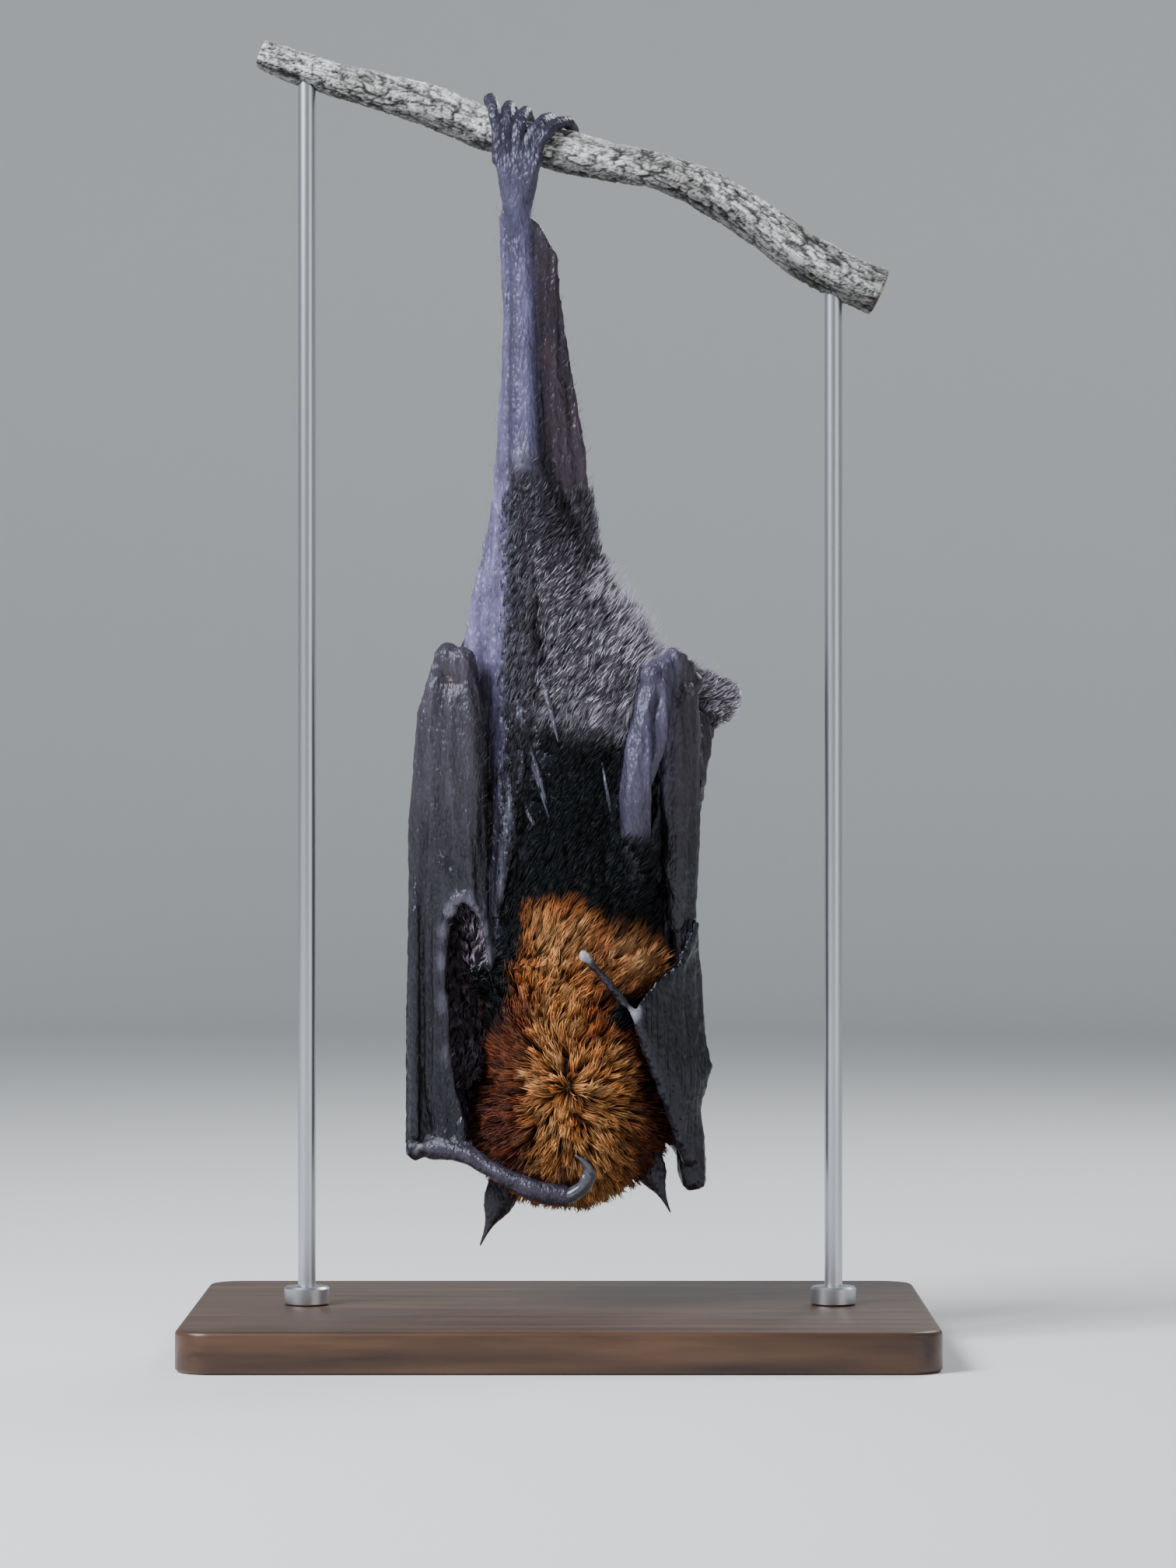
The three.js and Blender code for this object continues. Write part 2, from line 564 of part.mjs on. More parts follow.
// The arched opening under the right arm, between the thumb, the forearm and the shoulder: x and z round it.
const CROOK = [
  [-36.5, 82], [-41.8, 107], [-44.4, 124], [-45.6, 148], [-45, 162], [-42.8, 171.5], [-39.4, 176.4],
  [-35.6, 176],
  [-32, 172], [-29, 165], [-27.6, 156], [-27.2, 140], [-20, 120], [-20, 82],
];
const CROOK_DEPTH = -11; // how far in the opening reaches

function crook() {
  const outline = new THREE.Shape(CROOK.map(([x, z]) => new THREE.Vector2(x, z)));
  const cut = new THREE.ExtrudeGeometry(outline, { depth: 30, bevelEnabled: false });
  return solidOf(cut.rotateX(Math.PI / 2).translate(0, CROOK_DEPTH, 0));
}

/** The right upper arm is hollowed where the arch passes over it; its clearance is that of the whole arm. */
function rightUpperArm(grow) {
  const arm = limb(RIGHT_UPPER, UPPER_ARM, { ...ARM, grow });
  return grow ? arm : arm.subtract(crook());
}
const rightForearm = (grow) => limb(RIGHT_FORE, FOREARM, { ...FORE, grow });
const leftUpperArm = (grow) => limb(LEFT_UPPER, UPPER_ARM, { ...ARM, grow });
const leftForearm = (grow) => limb(LEFT_FORE, FOREARM, { ...FORE, grow });

/** A folded finger: its bones are straight tapering rods that meet at knuckles. */
function finger(joints, thick, grow) {
  const bones = [];
  for (let i = 0; i < joints.length - 1; i++) {
    const taper = thick * 0.82 ** i;
    bones.push(limb([joints[i], joints[i + 1]], [[0, taper, taper], [1, taper * 0.8, taper * 0.8]], {
      sides: 5, steps: 1, round: [taper, taper], grow,
    }));
  }
  return union(...bones);
}

// Each folded finger's joints, from the wrist: knuckle, next knuckle and tip.
const FINGERS = {
  right: {
    2: [[-57, -14.6, 84], [-57, -15.6, 165], [-56, -12.4, 202]],
    3: [[-58.6, -5, 84], [-56.5, 0, 215], [-57.6, 7.4, 118], [-56.2, 9, 226]],
    4: [[-57, 2.2, 82], [-56.5, 16, 207], [-55.6, 16.6, 127], [-55, 22, 196]],
    5: [[-54.6, 7.4, 82], [-55.2, 27, 199], [-52, 23.6, 144], [-51, 29, 184]],
  },
  left: {
    2: [[50.4, -12.6, 74], [28.8, -35.6, 133], [9.4, -44.2, 155.6]],
    3: [[51.6, -2.2, 73], [49.4, 5.6, 203], [56.8, 7, 112], [52.8, 6.4, 168]],
    4: [[50.6, 3.8, 73], [49.6, 19, 199], [52.4, 19, 125], [51, 22.4, 182]],
    5: [[48.6, 9, 74], [48.2, 29, 193], [48.4, 26.4, 139], [47.6, 30.8, 178]],
  },
};
const FINGER_SIZES = { 2: 1.9, 3: 2.3, 4: 2.1, 5: 2.1 };

/** The web in the crook of the arm: from the forearm to the upper arm, with a free edge down to the thumb. */
function rightArmWeb(grow) {
  const forearmEdge = [
    [-45, -19, 263], [-49, -17, 240], [-51, -15, 208], [-52.4, -13, 170], [-52.4, -12.8, 130],
    [-51.4, -12.8, 102],
    [-49, -14, 78],
  ];
  const freeEdge = [
    [-41, -20.5, 263], [-36.5, -23, 240], [-35, -23.5, 208], [-33.6, -22.4, 186], [-33, -20, 168],
    [-38, -15.4, 147],
    [-38, -14.6, 123], [-36.5, -15, 101], [-34, -17.5, 77],
  ];
  const sheet = web(forearmEdge, freeEdge, { thick: 2, bulge: 1.6, steps: 11, across: 3, grow });
  return sheet.subtract(crook());
}

/** The left crook's web is drawn in between the two bones. */
function leftArmWeb(grow) {
  const forearmEdge = [
    [44.6, -12, 258], [43.6, -9, 225], [43.6, -7, 190], [44.6, -5, 150], [45.4, -4, 110], [47, -5, 82],
  ];
  const freeEdge = [
    [42.6, -19, 258], [38.4, -20, 225], [35.4, -20, 195], [33.6, -14, 165], [37.6, -9, 130],
    [43.4, -7, 95],
  ];
  return web(forearmEdge, freeEdge, { bulge: -1.5, steps: 9, across: 2, face: [-1, -1, 0], grow });
}

/** The closed hand's membrane: pleats packed between the folded fingers, from front to back. */
function handPleats(front, back, grow) {
  return web(front, back, { thick: 1.8, face: [1, 0, 0], pleats: 2, pleat: 2, steps: 3, across: 8, grow });
}
const rightHandWeb = (grow) =>
  handPleats(
    [[-55, -3, 92], [-55, -1, 140], [-54.6, 0, 190], [-53, 2, 228]],
    [[-50.5, 20, 96], [-50.6, 29, 140], [-52, 31, 180], [-54, 27, 214]],
    grow,
  );
const leftHandWeb = (grow) =>
  handPleats(
    [[49, -1, 84], [49.4, 1, 120], [48.4, 2, 160], [47.4, 3, 200]],
    [[45, 20, 92], [44, 30, 130], [45, 33, 160], [46, 30, 186]],
    grow,
  );

/** The flank web: from the leg and side to the wing, hanging in a soft sheet. */
function rightFlankWeb(grow) {
  const leg = [
    [-21.3, -5, 446], [-19.6, -6.4, 408], [-19.8, -8, 376], [-18.4, -10, 348], [-15, -12, 322],
    [-12, -14, 297],
    [-12, -18, 270], [-12.4, -23, 246], [-14.5, -26.5, 222], [-18.5, -27.5, 196], [-23, -24.5, 170],
  ];
  const free = [
    [-22.1, -1.6, 446], [-21.2, -1.6, 408], [-22.1, -1.6, 371], [-24.8, -1.4, 341], [-29.2, -1.2, 316],
    [-34.6, -1, 293], [-37.6, -0.6, 281], [-35.6, 1, 268], [-32.6, -3, 246], [-30.6, -7, 222],
    [-28, -12, 196],
    [-25.4, -17, 170],
  ];
  return web(leg, free, { bulge: 3, steps: 13, across: 3, face: [-0.25, -1, 0], grow });
}

/** From the side of the trunk round to the back of the folded hand, on the right. */
function rightSideWeb(grow) {
  const flank = [
    [-22, 12, 292], [-24, 14, 262], [-27, 14, 230], [-29.5, 14, 195], [-30, 12, 160], [-28, 8, 120],
    [-22, 10, 70],
  ];
  const wing = [
    [-36.5, 1.4, 279], [-43, 12, 252], [-49, 24, 222], [-49.5, 25, 185], [-49, 21, 140],
    [-49.4, 10, 104], [-47, -2, 78],
  ];
  return web(flank, wing, { bulge: 6, steps: 7, across: 4, face: [-0.4, 1, 0], grow });
}

/** From the bent knee and shank down to the folded hand, on the left. */
function leftFlankWeb(grow) {
  const leg = [[60, 38, 245], [53, 48, 239], [38, 49, 227], [20, 46, 214]];
  const wing = [[56, 8, 224], [54, 26, 208], [46, 32, 190], [36, 33, 172]];
  return web(leg, wing, { bulge: 1, steps: 6, across: 4, face: [0.2, 1, 0], grow });
}
function leftSideWeb(grow) {
  const flank = [
    [36, 2, 252], [38, 6, 236], [38, 8, 215], [37, 9, 185], [36, 8, 155], [35, 8, 120], [36, 8, 80],
  ];
  const wing = [
    [57, 30, 246], [57, 14, 230], [58.4, 14, 212], [48, 18, 203], [40, 19, 182], [39.6, 17, 145],
    [41, 11, 110],
    [45, 5, 79],
  ];
  return web(flank, wing, { bulge: 3, steps: 6, across: 3, face: [0.3, 1, 0], grow });
}

/** The part of the left hand that hangs open over the forearm, stretched by the second finger. */
function leftOpenWeb(grow) {
  const second = [
    [50.2, -12.2, 73], [45.4, -18, 88], [38.4, -26.4, 108], [31.4, -33.4, 127], [30, -34.6, 134],
    [37.4, -27.4, 145],
    [46.6, -19.4, 151], [52, -14.6, 163],
  ];
  const third = [
    [52.8, -7.8, 74], [54.2, -5, 92], [57.8, -4, 110], [56.6, -4, 124], [54.8, -4.6, 138], [53.8, -6, 154],
    [53.6, -12.6, 168.5],
  ];
  return web(second, third, { bulge: 3.6, steps: 8, across: 3, thick: 1.2, grow });
}

function buildWings() {
  const body = [torso(GAP), head(GAP)];
  const thighs = [rightThigh(GAP), leftThigh(GAP), leftShank(GAP), leftSole(GAP)];
  const sides = [
    {
      side: "right", upper: rightUpperArm, fore: rightForearm, thumbPath: RIGHT_THUMB, hookPath: RIGHT_HOOK,
      webs: [
        ["arm_web", rightArmWeb], ["hand_web", rightHandWeb], ["flank_web", rightFlankWeb],
        ["side_web", rightSideWeb],
      ],
    },
    {
      side: "left", upper: leftUpperArm, fore: leftForearm, thumbPath: LEFT_THUMB, hookPath: LEFT_HOOK,
      webs: [
        ["open_web", leftOpenWeb], ["arm_web", leftArmWeb], ["hand_web", leftHandWeb],
        ["flank_web", leftFlankWeb], ["side_web", leftSideWeb],
      ],
    },
  ];
  for (const { side, upper, fore, thumbPath, hookPath, webs } of sides) {
    show(`${side}_thumb_claw`, hook(hookPath, 0), CLAW);
    show(`${side}_thumb`, carve(thumb(thumbPath, 0), hook(hookPath, GAP), fore(GAP)), SKIN);
    const others = [...body, ...thighs, rightShank(GAP), hook(hookPath, GAP)];
    const add = (name, shape, look) => {
      show(`${side}_${name}`, carve(shape(0), ...others), look);
      others.push(shape(GAP));
    };
    add("upper_arm", upper, SKIN);
    add("forearm", fore, SKIN);
    others.push(thumb(thumbPath, GAP));
    for (const number of [2, 3, 4, 5]) {
      add(`finger_${number}`, (grow) => finger(FINGERS[side][number], FINGER_SIZES[number], grow), SKIN);
    }
    for (const [name, shape] of webs) {
      add(name, shape, SKIN);
    }
  }
}

buildStand();
buildBody();
buildLegs();
buildWings();

export default part;
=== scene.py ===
"""Looks of the life-size fruit bat: skin, coat, claws, eyes, bark, stand and studio.

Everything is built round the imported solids. Lengths in the dataclasses are in millimetres; meshes are
written in metres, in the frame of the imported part.
"""
import logging
import math
from dataclasses import dataclass, field
from enum import Enum

import bpy
import numpy as np
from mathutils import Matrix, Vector
from mathutils.bvhtree import BVHTree
from mathutils.kdtree import KDTree


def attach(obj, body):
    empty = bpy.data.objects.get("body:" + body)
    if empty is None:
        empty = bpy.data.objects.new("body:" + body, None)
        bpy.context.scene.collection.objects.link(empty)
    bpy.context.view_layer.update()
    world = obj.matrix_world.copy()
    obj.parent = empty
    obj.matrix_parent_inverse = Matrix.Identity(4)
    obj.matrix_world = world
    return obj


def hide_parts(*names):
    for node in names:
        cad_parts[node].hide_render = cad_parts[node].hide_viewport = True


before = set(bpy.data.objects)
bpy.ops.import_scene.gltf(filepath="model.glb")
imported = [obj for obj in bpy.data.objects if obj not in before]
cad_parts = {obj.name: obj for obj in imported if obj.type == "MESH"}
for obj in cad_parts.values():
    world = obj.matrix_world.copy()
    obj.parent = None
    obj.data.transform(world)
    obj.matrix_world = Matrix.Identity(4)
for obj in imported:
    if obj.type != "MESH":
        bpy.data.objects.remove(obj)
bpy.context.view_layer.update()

LOG = logging.getLogger("fruit_bat")
MM = 0.001
Array = np.ndarray
Point = tuple[float, float, float]
Colour = tuple[float, float, float]
Ball = tuple[Point, float]
Bar = tuple[tuple[Point, ...], tuple[float, ...]]
Flat = tuple[tuple[float, float], ...]
Stops = tuple[tuple[float, Colour], ...]
Socket = bpy.types.NodeSocket

LATTICE_PRIMES = np.array([73856093, 19349663, 83492791])
SEED_STEP = 7919
MIXES = ((13, 1274126177), (11, 668265263))
MASK = 0x7FFFFFFF
MARKING = "marking"


# ---------- numbers and noise ----------
def unit(vectors: Array) -> Array:
    """Returns the vectors scaled to length one."""
    return vectors / np.maximum(np.linalg.norm(vectors, axis=-1, keepdims=True), 1e-12)


def smooth_step(low: float, high: float, values: Array) -> Array:
    """Returns 0 below low, 1 above high and an eased ramp between them."""
    share = np.clip((values - low) / (high - low), 0.0, 1.0)
    return share * share * (3 - 2 * share)


def bell(values: Array, centre: float, width: float) -> Array:
    """Returns a bump of height one round the centre."""
    return np.exp(-(((values - centre) / width) ** 2))


def near(points: Array, place: Point | Array, outer: float, inner: float) -> Array:
    """Returns 1 within the inner distance of a place, 0 beyond the outer one and an eased ramp between."""
    return smooth_step(outer, inner, np.linalg.norm(points - np.asarray(place), axis=1))


def away(points: Array, place: Point | Array, inner: float, outer: float) -> Array:
    """Returns 0 within the inner distance of a place, 1 beyond the outer one and an eased ramp between."""
    return smooth_step(inner, outer, np.linalg.norm(points - np.asarray(place), axis=1))


def glow(points: Array, place: Point | Array, width: float) -> Array:
    """Returns a bump of height one round a place."""
    return bell(np.linalg.norm(points - np.asarray(place), axis=1), 0.0, width)


def mixed(colours: Array, other: Array | Colour, share: Array | float) -> Array:
    """Returns colours moved towards another one by a share, given once or for each row."""
    return colours + (np.asarray(other) - colours) * np.reshape(share, (-1, 1))


def cell_noise(points: Array, seed: int) -> Array:
    """Smooth noise on a unit lattice.

    Args:
        points: places, one row each, measured in lattice cells.
        seed: picks the pattern.

    Returns:
        One value from -1 to 1 for each place.
    """
    cell = np.floor(points).astype(np.int64)
    part = points - cell
    ease = part * part * (3 - 2 * part)
    total = np.zeros(len(points))
    for corner in range(8):
        step = np.array([corner & 1, (corner >> 1) & 1, (corner >> 2) & 1])
        key = ((cell + step) * LATTICE_PRIMES).sum(axis=1) + seed * SEED_STEP
        for shift, factor in MIXES:
            key = (key ^ (key >> shift)) * factor & MASK
        value = (key >> 7 & 0xFFFF) / 32767.5 - 1
        total += value * np.prod(np.where(step == 1, ease, 1 - ease), axis=1)
    return total


def cloud(points: Array, size: Point | float, seed: int, octaves: int = 3) -> Array:
    """Layered noise.

    Args:
        points: places in millimetres.
        size: the largest feature, in millimetres, for all axes or for each.
        seed: picks the pattern.
        octaves: how many layers, each half the size of the one before.

    Returns:
        One value, mostly from -1 to 1, for each place.
    """
    scaled = points / np.asarray(size, dtype=float)
    layers = [cell_noise(scaled * 2.0**i, seed + i) * 0.5**i for i in range(octaves)]
    return sum(layers) / 1.4


def folds(points: Array, size: Point, seed: int) -> Array:
    """Returns sharp-backed ridges from 0 to 1, long in the axis with the largest size."""
    return (1 - np.abs(cloud(points, size, seed, 2))) ** 3


# ---------- meshes ----------
class Shape:
    """A triangle mesh in numpy arrays, in millimetres."""

    def __init__(self, points: Array, faces: Array) -> None:
        """Keeps the points and the triangles."""
        self.points = np.asarray(points, dtype=float).reshape(-1, 3)
        self.faces = np.asarray(faces, dtype=np.int64).reshape(-1, 3)

    @staticmethod
    def of_mesh(mesh: bpy.types.Mesh) -> "Shape":
        """Returns a mesh's triangles."""
        points = np.empty(len(mesh.vertices) * 3, np.float32)
        mesh.vertices.foreach_get("co", points)
        mesh.calc_loop_triangles()
        faces = np.empty(len(mesh.loop_triangles) * 3, np.int32)
        mesh.loop_triangles.foreach_get("vertices", faces)
        return Shape(points.reshape(-1, 3) / MM, faces)

    @staticmethod
    def of_node(name: str) -> "Shape":
        """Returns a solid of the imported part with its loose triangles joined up."""
        loose = Shape.of_mesh(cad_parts[name].data)
        keys = np.round(loose.points, 3)
        _, first, back = np.unique(keys, axis=0, return_index=True, return_inverse=True)
        faces = back.reshape(-1)[loose.faces]
        whole = (faces[:, 0] != faces[:, 1]) & (faces[:, 1] != faces[:, 2]) & (faces[:, 0] != faces[:, 2])
        return Shape(loose.points[first], faces[whole])

    @staticmethod
    def joined(shapes: list["Shape"]) -> "Shape":
        """Returns several shapes as one."""
        starts = np.cumsum([0] + [len(s.points) for s in shapes[:-1]])
        faces = [s.faces + start for s, start in zip(shapes, starts)]
        return Shape(np.concatenate([s.points for s in shapes]), np.concatenate(faces))

    def normals(self) -> Array:
        """Returns the outward normal at each point."""
        corners = self.points[self.faces]
        flat = np.cross(corners[:, 1] - corners[:, 0], corners[:, 2] - corners[:, 0])
        total = np.zeros_like(self.points)
        for corner in range(3):
            for axis in range(3):
                total[:, axis] += np.bincount(self.faces[:, corner], flat[:, axis], len(self.points))
        return unit(total)

    def grown(self, by: Array | float) -> "Shape":
        """Returns the shape with each point moved out along its normal."""
        return Shape(self.points + self.normals() * np.reshape(by, (-1, 1)), self.faces)

    def edges(self) -> Array:
        """Returns each edge once, as pairs of point numbers."""
        pairs = np.concatenate([self.faces[:, [0, 1]], self.faces[:, [1, 2]], self.faces[:, [2, 0]]])
        pairs.sort(axis=1)
        keys = np.unique(pairs[:, 0] * len(self.points) + pairs[:, 1])
        return np.stack([keys // len(self.points), keys % len(self.points)], axis=1)

    def eased(self, values: Array, rounds: int, share: float = 0.5) -> Array:
        """Spreads values over the mesh.

        Args:
            values: one row for each point.
            rounds: how many times each value moves towards its neighbours' mean.
            share: how far it moves each time.

        Returns:
            The spread values, of the same size.
        """
        edges = self.edges()
        ends = np.concatenate([edges[:, 0], edges[:, 1]])
        others = np.concatenate([edges[:, 1], edges[:, 0]])
        count = np.maximum(np.bincount(ends, minlength=len(self.points)), 1)
        table = values.reshape(len(self.points), -1).astype(float)
        for _ in range(rounds):
            for column in range(table.shape[1]):
                mean = np.bincount(ends, table[others, column], len(self.points)) / count
                table[:, column] += (mean - table[:, column]) * share
        return table.reshape(values.shape)

    def smoothed(self, rounds: int) -> "Shape":
        """Returns the shape with its facets eased away and little loss of volume."""
        points = self.points
        for _ in range(rounds):
            points = self.eased(points, 1, 0.6)
            points = self.eased(points, 1, -0.56)
        return Shape(points, self.faces)

    def mesh(self, name: str) -> bpy.types.Mesh:
        """Returns a smooth-shaded mesh, in metres."""
        mesh = bpy.data.meshes.new(name)
        mesh.vertices.add(len(self.points))
        mesh.vertices.foreach_set("co", (self.points * MM).astype(np.float32).ravel())
        mesh.loops.add(self.faces.size)
        mesh.loops.foreach_set("vertex_index", self.faces.astype(np.int32).ravel())
        mesh.polygons.add(len(self.faces))
        mesh.polygons.foreach_set("loop_start", np.arange(0, self.faces.size, 3, dtype=np.int32))
        mesh.update(calc_edges=True)
        mesh.polygons.foreach_set("use_smooth", np.ones(len(self.faces), dtype=bool))
        return mesh

    def placed(self, name: str) -> bpy.types.Object:
        """Returns the shape as an object in the scene."""
        piece = bpy.data.objects.new(name, self.mesh(name))
        bpy.context.scene.collection.objects.link(piece)
        return piece

    def through(self, kind: str, **settings: object) -> "Shape":
        """Passes the shape through one modifier.

        Args:
            kind: the modifier's type.
            settings: values for its properties.

        Returns:
            The result, as a new shape.
        """
        piece = self.placed("passing")
        modifier = piece.modifiers.new("step", kind)
        for key, value in settings.items():
            setattr(modifier, key, value)
        graph = bpy.context.evaluated_depsgraph_get()
        mesh = bpy.data.meshes.new_from_object(piece.evaluated_get(graph))
        result = Shape.of_mesh(mesh)
        bpy.data.objects.remove(piece)
        bpy.data.meshes.remove(mesh)
        return result

    def voxelled(self, size: float) -> "Shape":
        """Returns one even closed surface round everything in the shape."""
        return self.through("REMESH", mode="VOXEL", voxel_size=size * MM)

    def thinned(self, most: int) -> "Shape":
        """Returns the shape with no more than about this many triangles."""
        if len(self.faces) <= most:
            return self
        return self.through("DECIMATE", ratio=most / len(self.faces))


def curve_through(path: Array, count: int) -> Array:
    """Returns evenly numbered points on a smooth curve through the path's points."""
    knots = np.asarray(path, dtype=float)
    padded = np.vstack([2 * knots[0] - knots[1], knots, 2 * knots[-1] - knots[-2]])
    places = np.linspace(0, len(knots) - 1, count)
    start = np.minimum(places.astype(int), len(knots) - 2)
    t = (places - start)[:, None]
    a, b, c, d = (padded[start + i] for i in range(4))
    return 0.5 * (2 * b + (c - a) * t + (2 * a - 5 * b + 4 * c - d) * t**2 + (3 * b - a - 3 * c + d) * t**3)


def running_mean(values: Array, reach: int) -> Array:
    """Returns the mean of each value and its neighbours within reach."""
    span = 2 * reach + 1
    return np.convolve(np.pad(values, reach, mode="edge"), np.ones(span) / span, mode="valid")


def search_tree(places: Array) -> KDTree:
    """Makes a tree that finds the nearest of some places.

    Args:
        places: the places, one row each.

    Returns:
        The tree, which knows each place by its row.
    """
    tree = KDTree(len(places))
    for number, place in enumerate(places):
        tree.insert(place, number)
    tree.balance()
    return tree


def tube_faces(rings: int, around: int) -> list[tuple[int, int, int]]:
    """Joins rings of points into a tube that is closed at both ends.

    Args:
        rings: how many rings there are.
        around: how many points each ring has.

    Returns:
        The triangles; the points of the two ends are numbered after those of the rings.
    """
    faces = []
    for ring in range(rings - 1):
        for k in range(around):
            a, b = ring * around + k, ring * around + (k + 1) % around
            faces += [(a, a + around, b), (b, a + around, b + around)]
    first, last, end = rings * around, rings * around + 1, (rings - 1) * around
    for k in range(around):
        following = (k + 1) % around
        faces += [(first, k, following), (last, end + following, end + k)]
    return faces


def sweep(path: Array, radii: Array, sides: int = 16, count: int = 24, flat: float = 1.0) -> Shape:
    """A closed round bar along a curve.

    Args:
        path: points of its middle line.
        radii: its radius at even places from start to end.
        sides: faces round it.
        count: rings along it.
        flat: how thick it is for its width.

    Returns:
        The bar, closed at both ends.
    """
    line = curve_through(path, count)
    tangent = unit(np.gradient(line, axis=0))
    side = np.cross(tangent, [0.0, 0.0, 1.0])
    side[np.linalg.norm(side, axis=1) < 0.2] = [1.0, 0.0, 0.0]
    side = unit(side - tangent * (side * tangent).sum(axis=1, keepdims=True))
    up = np.cross(side, tangent)
    radius = np.interp(np.linspace(0, 1, count), np.linspace(0, 1, len(radii)), radii)
    angle = np.arange(sides) / sides * 2 * math.pi
    across = np.cos(angle)[None, :, None] * side[:, None]
    around = across + np.sin(angle)[None, :, None] * up[:, None] * flat
    rings = line[:, None] + around * radius[:, None, None]
    shape = Shape(np.vstack([rings.reshape(-1, 3), line[:1], line[-1:]]), tube_faces(count, sides))
    corners = shape.points[shape.faces]
    volume = (corners[:, 0] * np.cross(corners[:, 1], corners[:, 2])).sum()
    return shape if volume > 0 else Shape(shape.points, shape.faces[:, ::-1])


def sphere(centre: Point | Array, radius: float, rings: int = 24) -> Shape:
    """A closed ball.

    Args:
        centre: its middle.
        radius: its radius.
        rings: how many bands it has from pole to pole.

    Returns:
        The ball.
    """
    wide = rings * 2
    latitude = np.linspace(0, math.pi, rings + 1)[1:-1]
    longitude = np.arange(wide) / wide * 2 * math.pi
    ring = np.stack(
        [
            np.outer(np.sin(latitude), np.cos(longitude)),
            np.outer(np.sin(latitude), np.sin(longitude)),
            np.outer(np.cos(latitude), np.ones(wide)),
        ],
        axis=-1,
    ).reshape(-1, 3)
    points = np.vstack([ring, [[0, 0, 1], [0, 0, -1]]]) * radius + np.asarray(centre)
    return Shape(points, tube_faces(rings - 1, wide))


def paint(mesh: bpy.types.Mesh, colours: Array) -> None:
    """Stores the marking of a mesh: one linear colour for each of its points.

    Args:
        mesh: the mesh.
        colours: a row of red, green and blue for each point.
    """
    layer = mesh.color_attributes.new(MARKING, "FLOAT_COLOR", "POINT")
    filled = np.ones((len(colours), 4), np.float32)
    filled[:, :3] = colours
    layer.data.foreach_set("color", filled.ravel())


# ---------- finishes ----------
class Wiring:
    """A material's node tree with short ways to add to it."""

    def __init__(self, name: str) -> None:
        """Starts a material with one principled shader."""
        self.material = bpy.data.materials.new(name)
        self.material.use_nodes = True
        self.tree = self.material.node_tree
        self.shader = self.tree.nodes["Principled BSDF"]

    def add(self, kind: str, **settings: object) -> bpy.types.Node:
        """Returns a new node with some of its properties set."""
        node = self.tree.nodes.new(kind)
        for key, value in settings.items():
            setattr(node, key, value)
        return node

    def link(self, out: Socket, into: Socket) -> None:
        """Joins two sockets."""
        self.tree.links.new(out, into)

    def marking(self) -> Socket:
        """Returns the colour that is painted on the mesh."""
        return self.add("ShaderNodeVertexColor", layer_name=MARKING).outputs["Color"]

    def set(self, **values: object) -> None:
        """Sets the shader's own sockets; an underscore stands for a space."""
        for key, value in values.items():
            self.shader.inputs[key.replace("_", " ")].default_value = value

    def grain(self, scale: Point, detail: float, rough: float = 0.6) -> Socket:
        """Adds a noise on object coordinates.

        Args:
            scale: how many features a metre holds along each axis.
            detail: how many finer layers it has.
            rough: how strong each finer layer is.

        Returns:
            The noise, from 0 to 1.
        """
        place = self.add("ShaderNodeTexCoord")
        mapping = self.add("ShaderNodeMapping")
        mapping.inputs["Scale"].default_value = scale
        noise = self.add("ShaderNodeTexNoise")
        noise.inputs["Scale"].default_value = 1.0
        noise.inputs["Detail"].default_value = detail
        noise.inputs["Roughness"].default_value = rough
        self.link(place.outputs["Object"], mapping.inputs["Vector"])
        self.link(mapping.outputs["Vector"], noise.inputs["Vector"])
        return noise.outputs["Fac"]

    def ramp(self, value: Socket, stops: Stops) -> Socket:
        """Adds a colour ramp.

        Args:
            value: what it reads.
            stops: places along it from 0 to 1, with their colours.

        Returns:
            Its colour.
        """
        node = self.add("ShaderNodeValToRGB")
        while len(node.color_ramp.elements) < len(stops):
            node.color_ramp.elements.new(0.5)
        for element, (place, colour) in zip(node.color_ramp.elements, stops):
            element.position = place
            element.color = (*colour, 1.0)
        self.link(value, node.inputs["Fac"])
        return node.outputs["Color"]

    def darkened(self, colour: Socket, by: Socket, share: float = 1.0) -> Socket:
        """Multiplies one colour by another.

        Args:
            colour: the colour.
            by: the factor for red, green and blue.
            share: how much of the change is kept.

        Returns:
            The new colour.
        """
        node = self.add("ShaderNodeMix", data_type="RGBA", blend_type="MULTIPLY")
        node.inputs[0].default_value = share
        self.link(colour, node.inputs[6])
        self.link(by, node.inputs[7])
        return node.outputs[2]

    def bump(self, height: Socket, distance: float, strength: float, under: Socket | None = None) -> Socket:
        """Adds a relief that only the light sees.

        Args:
            height: the relief, from 0 to 1.
            distance: its depth in millimetres.
            strength: how much of it shows.
            under: a coarser relief that it lies on.

        Returns:
            The bumped normal.
        """
        node = self.add("ShaderNodeBump")
        node.inputs["Distance"].default_value = distance * MM
        node.inputs["Strength"].default_value = strength
        self.link(height, node.inputs["Height"])
        if under is not None:
            self.link(under, node.inputs["Normal"])
        return node.outputs["Normal"]


@dataclass(frozen=True)
class CoatFinish:
    """Hair: its colour is painted on each lock, with a soft shine along it."""

    roughness: float = 0.5
    shine: float = 0.2

    def material(self) -> bpy.types.Material:
        """Returns the coat's material."""
        wiring = Wiring("coat_hair")
        wiring.link(wiring.marking(), wiring.shader.inputs["Base Color"])
        wiring.set(Roughness=self.roughness, Specular_IOR_Level=self.shine)
        return wiring.material


